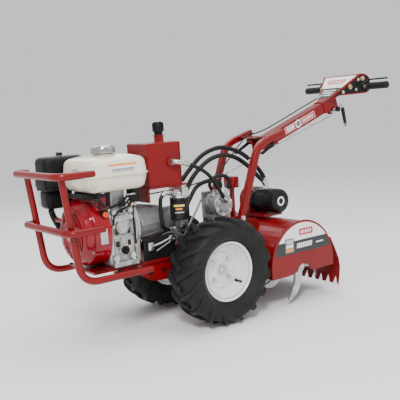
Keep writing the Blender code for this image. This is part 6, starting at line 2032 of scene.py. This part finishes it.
    def _motor(self) -> None:
        """Turn the tine motor with its ring and bolts, and add the chain case's bolts and rim."""
        y, z = self.motor
        centre = (0.0, y, z)
        r, end = self.motor_radius, self.motor_end
        motor = Shape("tine_motor_body")
        motor.turned([(-0.0196, 0.0), (-0.0196, r), (-0.004, r), (-0.003, r - 0.004), (0.03, r - 0.004),
            (0.031, r - 0.0005), (0.062, r - 0.0005), (0.063, r - 0.0035), (0.066, r - 0.0035),
            (0.067, r - 0.0005), (end - 0.008, r - 0.0005), (end - 0.002, r - 0.004), (end, r - 0.01),
            (end, 0.0)], Axis.X, centre, 72)
        motor.block((0.0, y - 0.038, z + 0.02), (0.085, y + 0.018, z + r - 0.0015), 0.005, 3)
        motor.hand_over(BLACK_PAINT, Body.FRAME, ("tine_motor",), smooth_angle=35.0)
        ring = Shape("tine_motor_ring").turned([(end - 0.001, 0.0125), (end + 0.0012, 0.0125),
            (end + 0.0012, 0.0205), (end - 0.001, 0.0205)], Axis.X, centre, 56, closed=True)
        ring.hand_over(DECAL_WHITE, Body.FRAME)
        places = round_places(Axis.X, end - 0.002, self.motor, 0.036, [15 + 60 * k for k in range(6)])
        bolt_heads("tine_motor_bolts", places, 0.0062, BLACK_PAINT, Body.FRAME)
        side = Shape("chain_case_cover")
        slope = Vector((self.shaft[0] - y, self.shaft[1] - z))
        spots = [(-0.0855, y + slope.x * s + 0.043 * o, z + slope.y * s) for s,
            o in ((0.02, 1), (0.02, -1), (0.35, 1.0), (0.35, -1.0))]
        bolt_heads("chain_case_bolts", [(s, (-1.0, 0.0, 0.0)) for s in spots], 0.0058, ZINC, Body.FRAME)
        side.pipe([Vector((-0.084, px, pz)) for px, pz in arc((y, z), 0.054, -10, 190, 40)], 0.0025, 8)
        side.hand_over(POWDER_COAT, Body.FRAME, smooth_angle=60.0)

    def _tines(self, tag: str, low: float, high: float, places: tuple[float, ...]) -> None:
        """Forge one set: sleeve, flanges, bent sickle tines and their bolts.

        Args:
            tag: Which set it is.
            low: Start of its sleeve.
            high: End of its sleeve.
            places: Middles of its flanges.
        """
        y, z = self.shaft
        centre = (0.0, y, z)
        forged = Shape(f"tines_{tag}")
        forged.turned([(low, 0.0166), (low, 0.023), (high, 0.023), (high, 0.0166)], Axis.X, centre, 40,
            closed=True)
        for x in places:
            forged.turned([(x - 0.004, 0.022), (x - 0.004, 0.0475), (x - 0.003, 0.0485),
                (x + 0.003, 0.0485), (x + 0.004, 0.0475), (x + 0.004, 0.022)], Axis.X, centre, 40,
                closed=True)
        bolts = []
        for n, x in enumerate(places):
            for k in range(4):
                phase = math.radians(-90 + math.degrees(self.lag) + 90 * k + 30 * n)
                side = 1 if k % 2 else -1
                near = x + side * 0.004
                self._tine(forged, near, side, phase)
                bolts.append(((near + side * 0.0074, y + 0.036 * math.cos(phase),
                    z + 0.036 * math.sin(phase)), (float(side), 0.0, 0.0)))
        forged.hand_over(TINE_STEEL, Body.TINES, (f"tine_set_{tag}",), smooth_angle=35.0)
        bolt_heads(f"tine_bolts_{tag}", bolts, 0.007, ZINC, Body.TINES)

    def _tine(self, forged: Shape, near: float, side: int, phase: float) -> None:
        """Sweep one tine back from its flange, narrower and bent sideways towards the tip.

        Args:
            forged: Shape that it is added to.
            near: Where its flat face is.
            side: Which way it bends, 1 or -1.
            phase: Angle of its foot.
        """
        y, z = self.shaft
        start, spans = 0.028, 14
        rings = []
        for i in range(spans + 1):
            share = i / spans
            radius = start + (self.reach - start) * share
            sweep = phase - self.lag * share ** 2
            half = (0.024 - 0.006 * share) * math.sqrt(max(1.0 - max(share - 0.72, 0.0) / 0.29, 0.02))
            spread = half / max(radius, 0.03)
            thick = 0.0075 - 0.003 * share
            bend = side * 0.016 * max(share - 0.55, 0.0) ** 1.5 / 0.45 ** 1.5
            corners = []
            for turn, lift in ((-spread, 0.0), (spread, 0.0), (spread * 0.86, side * thick),
                    (-spread * 0.86, side * thick)):
                angle = sweep + turn
                spot = (near + bend + lift, y + radius * math.cos(angle), z + radius * math.sin(angle))
                corners.append(forged.bm.verts.new(spot))
            rings.append(corners)
        forged.skin(rings, True)


# ---------------------------------------------------------------- handle


@dataclass
class Handle:
    """Uprights, boom, console, bar, grips and controls.

    Attributes:
        boom_start: Lower end of the boom, seen from the side.
        boom_end: Upper end of the boom.
        boom_size: Side of its square tube.
        bar: Place of the handlebar.
        bar_half: Half its length.
        grip_length: Length of a grip.
        bail: Pivot of the safety bail; not used.
        lever: Pivot of the control lever.
        console_foot: Lower end of the console's face, seen from the side.
        console_top: Upper end of the console's face.
        console_halves: Half the console's width at its lower and its upper end.
    """

    boom_start: Spot = (0.43, 0.669)
    boom_end: Spot = (0.815, 0.805)
    boom_size: float = 0.05
    bar: Spot = (1.0, 0.895)
    bar_half: float = 0.249
    grip_length: float = 0.109
    bail: Spot = (0.965, 0.905)
    lever: Spot = (0.888, 0.786)
    console_foot: Spot = (0.828, 0.838)
    console_top: Spot = (0.981, 0.956)
    console_halves: Spot = (0.026, 0.112)

    @property
    def along(self) -> Vector:
        """Direction of the boom."""
        return (Vector((0.0, *self.boom_end)) - Vector((0.0, *self.boom_start))).normalized()

    def build(self) -> None:
        """Build the handle's finished pieces."""
        self._uprights()
        self._boom_labels()
        self._console_face()
        self._console_sides()
        self._grips()
        self._controls()

    def _uprights(self) -> None:
        """Build the two bent square tubes and the boom's yoke, with their struts and bolts."""
        size = 0.027
        for side, tag in ((1, "left"), (-1, "right")):
            x = side * 0.105
            route = filleted([(x, 0.1787, 0.33), (x, 0.31, 0.672), (x, 0.46, 0.716)], 0.045, 8)
            tube = Shape(f"upright_{tag}")
            section = rounded_box_outline((-size / 2, -size / 2), (size / 2, size / 2), 0.0035, 3)
            rings = []
            for i, spot in enumerate(route):
                ahead = (route[min(i + 1, len(route) - 1)] - route[max(i - 1, 0)]).normalized()
                out = Vector((1.0, 0.0, 0.0)).cross(ahead).normalized()
                rings.append([tube.bm.verts.new(spot + Vector((a, 0.0, 0.0)) + out * b) for a,
                    b in section])
            tube.skin(rings, True)
            tube.hand_over(POWDER_COAT, Body.FRAME, (f"handle_upright_{tag}",), smooth_angle=50.0)
        outer = 0.105 + size / 2
        bolt_heads("upright_bolts", side_places(outer, [(0.1965, 0.376), (0.185, 0.346)]), 0.008, ZINC,
            Body.FRAME)
        arms = Shape("boom_yoke")
        arms.block((-0.0905, 0.418, 0.664), (0.0905, 0.446, 0.6925), 0.003, 2)
        for side in (1, -1):
            x0, x1 = sorted((side * 0.0255, side * 0.0305))
            arms.slab([(0.4, 0.64), (0.452, 0.652), (0.52, 0.69), (0.52, 0.722), (0.43, 0.694),
                (0.396, 0.676)], Axis.X, x0, x1)
        arms.hand_over(POWDER_COAT, Body.FRAME)
        strut = Shape("yoke_strut")
        for low in (-0.088, 0.083):
            strut.slab([(0.336, 0.632), (0.352, 0.626), (0.438, 0.668), (0.43, 0.68)], Axis.X, low,
                low + 0.005)
        strut.hand_over(BLACK_PAINT, Body.FRAME)
        bolt_heads("yoke_bolts", side_places(0.031, [(0.44, 0.671), (0.492, 0.694)]), 0.0065, BLACK_PAINT,
            Body.FRAME)

    def _on_boom(self, distance: float, off: float) -> Spot:
        """A point beside the boom's middle line: distance along it and height off it, seen from the side."""
        lift = Vector((1.0, 0.0, 0.0)).cross(self.along)
        spot = Vector((0.0, *self.boom_start)) + self.along * distance + lift * off
        return (spot.y, spot.z)

    def _boom_panel(self, start: float, end: float, low: float, high: float, skew: float = 0.0) -> list:
        """Outline of a flat decal on the boom's side."""
        return [self._on_boom(start, low), self._on_boom(end, low), self._on_boom(end + skew, high),
            self._on_boom(start + skew, high)]

    def _decal_span(self, side: int, lift: float, sunk: float = 0.002) -> list[float]:
        """Where a decal on the boom's side starts and ends across, sunk into the tube and lifted off it."""
        return sorted((side * (self.boom_size / 2 - sunk), side * (self.boom_size / 2 + lift)))

    def _boom_labels(self) -> None:
        """Lay a red field with a white edge, white marks and a round badge on each side of the boom."""
        for side, tag in ((1, "left"), (-1, "right")):
            panel = Shape(f"boom_panel_{tag}")
            panel.slab(self._boom_panel(0.132, 0.34, -0.015, 0.015), Axis.X,
                *self._decal_span(side, 0.0004))
            panel.hand_over(DECAL_WHITE, Body.FRAME)
            inner = Shape(f"boom_field_{tag}")
            inner.slab(self._boom_panel(0.1345, 0.3375, -0.0128, 0.0128), Axis.X,
                *self._decal_span(side, 0.00055))
            inner.hand_over(DECAL_RED, Body.FRAME)
            low, high = self._decal_span(side, 0.0007)
            marks = Shape(f"boom_marks_{tag}")
            for n in range(3):
                start = 0.142 + 0.018 * n
                marks.slab(self._boom_panel(start, start + 0.0135, -0.009, 0.009, 0.003), Axis.X, low, high)
            for n in range(7):
                start = 0.25 + 0.0115 * n
                marks.slab(self._boom_panel(start, start + 0.007, -0.0065, 0.0065, 0.0025), Axis.X, low,
                    high)
            marks.hand_over(DECAL_WHITE, Body.FRAME)
            badge = Shape(f"boom_badge_{tag}")
            badge.turned([(low, 0.0), (low, 0.0185), (high, 0.0185), (high, 0.0)], Axis.X,
                (0.0, *self._on_boom(0.222, 0.0)), 40)
            badge.hand_over(DECAL_WHITE, Body.FRAME)
            inner_low, inner_high = self._decal_span(side, 0.001, 0.001)
            middle = Shape(f"boom_badge_middle_{tag}")
            middle.turned([(inner_low, 0.0), (inner_low, 0.0125), (inner_high, 0.0125), (inner_high, 0.0)],
                Axis.X, (0.0, *self._on_boom(0.222, 0.0)), 40)
            middle.hand_over(DECAL_GREY, Body.FRAME)

    def _console_face(self) -> None:
        """Lay the white panel, the dark band with its lines and the red mark on the console's face."""
        self._face("console_white_panel", (0.1, 0.95), 0.9, 0.0004, DECAL_WHITE)
        self._face("console_dark_band", (0.1, 0.5), 0.9, 0.0007, DECAL_DARK)
        for n, start in enumerate((0.2, 0.29, 0.38)):
            self._face(f"console_line_{n}", (start, start + 0.035), 0.66, 0.001, DECAL_WHITE)
        self._face("console_red_mark", (0.66, 0.82), 0.58, 0.0007, DECAL_RED)
        for n, start in enumerate((0.695, 0.745)):
            self._face(f"console_mark_line_{n}", (start, start + 0.025), 0.5, 0.001, DECAL_WHITE)

    def _face(self, name: str, spans: Spot, share: float, lift: float, finish: Finish) -> None:
        """Lay one flat panel between two shares of the console's height.

        Args:
            name: Name of the piece.
            spans: Where it starts and ends, as shares of the console's height.
            share: Its width as a share of the console's.
            lift: How far its face stands off the console.
            finish: Its finish.
        """
        foot = Vector((0.0, *self.console_foot))
        rise = Vector((0.0, *self.console_top)) - foot
        out = Vector((1.0, 0.0, 0.0)).cross(rise).normalized()
        narrow, wide = self.console_halves
        shape = Shape(name)
        rings = []
        for depth in (-0.001, lift):
            ring = []
            for s, sign in ((spans[0], -1), (spans[0], 1), (spans[1], 1), (spans[1], -1)):
                half = (narrow + (wide - narrow) * s) * share
                spot = foot + rise * s + out * depth + Vector((sign * half, 0.0, 0.0))
                ring.append(shape.bm.verts.new(spot))
            rings.append(ring)
        shape.skin(rings, True)
        shape.hand_over(finish, Body.FRAME)

    def _half_width(self, y: float) -> float:
        """Half the console's width at a distance along Y."""
        narrow, wide = self.console_halves
        start, end = self.console_foot[0], self.console_top[0]
        return narrow + (wide - narrow) * (y - start) / (end - start)

    def _side_places(self, spots: tuple[Spot, ...]) -> Places:
        """Places on both slanted sides of the console, for bolt heads."""
        return [((sign * (self._half_width(y) + 0.002), y, z), (float(sign), -0.25, 0.0))
            for sign in (1, -1) for y, z in spots]

    def _console_sides(self) -> None:
        """Add black panels for the console's inside, its dark mechanism and painted shade, the bolts and the
        brass heads to the console's sides.
        """
        side = self._side_places(((0.905, 0.874), (0.962, 0.884), (0.972, 0.928)))
        bolt_heads("console_bolts", side, 0.0055, ZINC, Body.FRAME)
        # Partly painted shade: a black panel in the outline of each side's opening stands for the console's
        # inside, its dark mechanism and the shade in it.
        inner = Shape("console_dark_sides")
        opening = [(0.8554, 0.8488), (0.9778, 0.9464), *arc((0.986, 0.921), 0.03, 90, 0, 6),
            *arc((0.996, 0.89), 0.02, 0, -90, 5), (0.889, 0.8645)]
        for sign in (1, -1):
            rings = [[inner.bm.verts.new((sign * (self._half_width(y) + lift), y, z)) for y, z in opening]
                for lift in (0.0002, 0.0018)]
            inner.skin(rings, True)
        inner.hand_over(BLACK_PAINT, Body.FRAME)
        hardware = self._side_places(((0.99, 0.932), (0.936, 0.897)))
        bolt_heads("console_brass", hardware, 0.0085, GOLD_ZINC, Body.FRAME)

    def _grips(self) -> None:
        """Turn the two ribbed grips."""
        y, z = self.bar
        centre = (0.0, y, z)
        low, high = self.bar_half - self.grip_length, self.bar_half + 0.002
        bore, round_radius = 0.0114, 0.0163
        for side, tag in ((1, "left"), (-1, "right")):
            profile = [(low, bore), (low, 0.0183), (low + 0.003, 0.019), (low + 0.007, 0.0183),
                (low + 0.01, 0.0155)]
            steps = 11
            pitch = (self.grip_length - 0.026) / steps
            for n in range(steps):
                start = low + 0.012 + pitch * n
                profile += [(start, 0.0155), (start + 0.0015, round_radius),
                    (start + pitch - 0.0022, round_radius), (start + pitch - 0.0008, 0.0155)]
            profile += [(high - 0.009, 0.0165), (high - 0.003, 0.0165), (high, 0.014), (high, 0.0)]
            inner = [(self.bar_half - 0.0026, 0.0), (self.bar_half - 0.0026, bore)]
            outline = [(side * a, r) for a, r in [*profile, *inner, profile[0]]]
            ring = Shape(f"ribbed_grip_{tag}").turned(outline, Axis.X, centre, 40)
            bmesh.ops.remove_doubles(ring.bm, verts=ring.bm.verts[:], dist=1e-6)
            inside = [face for face in ring.bm.faces if len(face.verts) > 4]
            bmesh.ops.delete(ring.bm, geom=inside, context="FACES_ONLY")
            ring.hand_over(GRIP_RUBBER, Body.FRAME, (f"grip_{tag}",), smooth_angle=50.0)

    def _controls(self) -> None:
        """Add clamp knobs, the lever's sleeve and bent rod, a hook, clevises, a ferrule and bail tips."""
        py, pz = self.lever
        knobs = Shape("clamp_knobs")
        for side in (1, -1):
            profile = ((0.03, 0.0), (0.03, 0.006), (0.036, 0.007), (0.038, 0.012), (0.048, 0.0125),
                (0.051, 0.009), (0.051, 0.0))
            knobs.turned([(side * along, radius) for along, radius in profile], Axis.X,
                (0.0, py + 0.006, pz + 0.01), 18)
        knobs.hand_over(BLACK_PLASTIC, Body.FRAME)
        grip = Shape("lever_sleeve")
        grip.pipe([Vector((0.02, 0.9535, 0.805)), Vector((0.02, 0.956, 0.794)),
            Vector((0.02, 0.9738, 0.7145))], 0.0092, 20, 0.002)
        grip.hand_over(GRIP_RUBBER, Body.LEVER, smooth_angle=50.0)
        bent = Shape("lever_bent_rod")
        bent.pipe(filleted([(0.02, py + 0.004, pz + 0.004), (0.02, 0.921, 0.7975), (0.02, 0.949, 0.818),
            (0.02, 0.9535, 0.8)], 0.008, 6), 0.0046, 16)
        bent.hand_over(ZINC, Body.LEVER, smooth_angle=60.0)
        hook = Shape("boom_hook")
        hook.pipe(filleted([(0.012, *self._on_boom(0.3, -0.024)), (0.012, *self._on_boom(0.305, -0.046)),
            (0.012, *self._on_boom(0.355, -0.052))], 0.004, 5), 0.002, 10)
        hook.hand_over(ZINC, Body.FRAME, smooth_angle=60.0)
        clevis = Shape("rod_clevis")
        clevis.bar((0.02, 0.812, 0.7471), (0.02, 0.852, 0.7592), 0.0062, 6, 0.0005)
        clevis.bar((0.02, 0.17, 0.5526), (0.02, 0.205, 0.5632), 0.0062, 6, 0.0005)
        clevis.hand_over(ZINC, Body.ROD, smooth_angle=20.0)
        ferrule = Shape("cable_ferrule")
        ferrule.bar((0.0185, 0.776, 0.851), (0.0195, 0.812, 0.8655), 0.0048, 16, 0.0006)
        ferrule.hand_over(ZINC, Body.FRAME)
        tips = Shape("bail_tips")
        for side in (1, -1):
            tips.bar((side * 0.236, 1.004, 0.926), (side * 0.2475, 1.004, 0.926), 0.0052, 16, 0.0012)
        tips.hand_over(BLACK_PLASTIC, Body.BAIL)


ASSEMBLIES = (WheelPair, FrontGuard, ChassisTrim, FuelTank, AirCleaner, StarterFront, EngineTrim,
    Hydraulics, DriveChain, TineHead, Handle)


# ---------------------------------------------------------------- studio


@dataclass
class Studio:
    """Camera, lights and floor.

    Attributes:
        eye: Camera's place from the middle of the axle, on the ground.
        right: Direction of the frame's right side.
        up: Direction of the frame's upper side.
        lens: Focal length in millimetres on a 36 mm wide sensor.
        floor_half: Half the width of the floor.
    """

    eye: Point = (2.136, -1.5461, 0.821)
    right: Point = (0.6083, 0.79125, -0.06236)
    up: Point = (-0.06785, 0.13013, 0.98917)
    lens: float = 58.64
    floor_half: float = 6.0

    def build(self) -> None:
        """Put the camera, the lights, the floor and the surroundings in place."""
        data = bpy.data.cameras.new("studio_camera")
        data.sensor_width = 36.0
        data.lens = self.lens
        data.clip_end = 50.0
        camera = bpy.data.objects.new("studio_camera", data)
        right, up = Vector(self.right).normalized(), Vector(self.up).normalized()
        back = right.cross(up).normalized()
        up = back.cross(right)
        turn = Matrix((right, up, back)).transposed().to_4x4()
        camera.matrix_world = Matrix.Translation(Vector(self.eye) + Vector((0.0, AXLE_Y, 0.0))) @ turn
        bpy.context.scene.collection.objects.link(camera)
        bpy.context.scene.camera = camera

        self._light("key_light", (2.6, -2.4, 3.2), 0.9, 150.0)
        self._light("fill_light", (2.8, 2.2, 2.0), 2.4, 14.0)
        self._light("rear_light", (-2.8, 0.6, 2.6), 2.2, 30.0)
        self._light("top_light", (0.2, 0.2, 3.6), 2.4, 55.0)

        surroundings = bpy.data.worlds.new("studio_white")
        surroundings.use_nodes = True
        sky = surroundings.node_tree.nodes["Background"]
        sky.inputs["Color"].default_value = (1.0, 1.0, 1.0, 1.0)
        sky.inputs["Strength"].default_value = 0.85
        bpy.context.scene.world = surroundings

        floor = Shape("studio_floor")
        floor.block((-self.floor_half, -self.floor_half, -0.02),
            (self.floor_half, self.floor_half, -0.0005))
        ground = floor.loose()
        ground.data.materials.append(FLOOR_PALE.material())

    def _light(self, name: str, place: Point, size: float, power: float) -> None:
        """Add a soft square light that faces the middle of the machine.

        Args:
            name: Name of the light.
            place: Where it hangs.
            size: Length of its side.
            power: Its power in watts.
        """
        data = bpy.data.lights.new(name, "AREA")
        data.size = size
        data.energy = power
        lamp = bpy.data.objects.new(name, data)
        lamp.location = place
        aim = Vector((0.0, 0.0, 0.4)) - Vector(place)
        lamp.rotation_euler = aim.to_track_quat("-Z", "Y").to_euler()
        bpy.context.scene.collection.objects.link(lamp)


def dress_frame() -> None:
    """Give every carried node of the frame its finish."""
    for finish, names in CARRIED.items():
        for name in names:
            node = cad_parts[name]
            node.data.materials.clear()
            node.data.materials.append(finish.material())
            log.info("%s carried over in %s", name, finish.name)


def main() -> None:
    """Build the machine's sub-assemblies in order, then the studio."""
    logging.basicConfig(level=logging.INFO, format="%(message)s")
    dress_frame()
    for assembly in ASSEMBLIES:
        assembly().build()
    Studio().build()


if __name__ == "__main__":
    main()
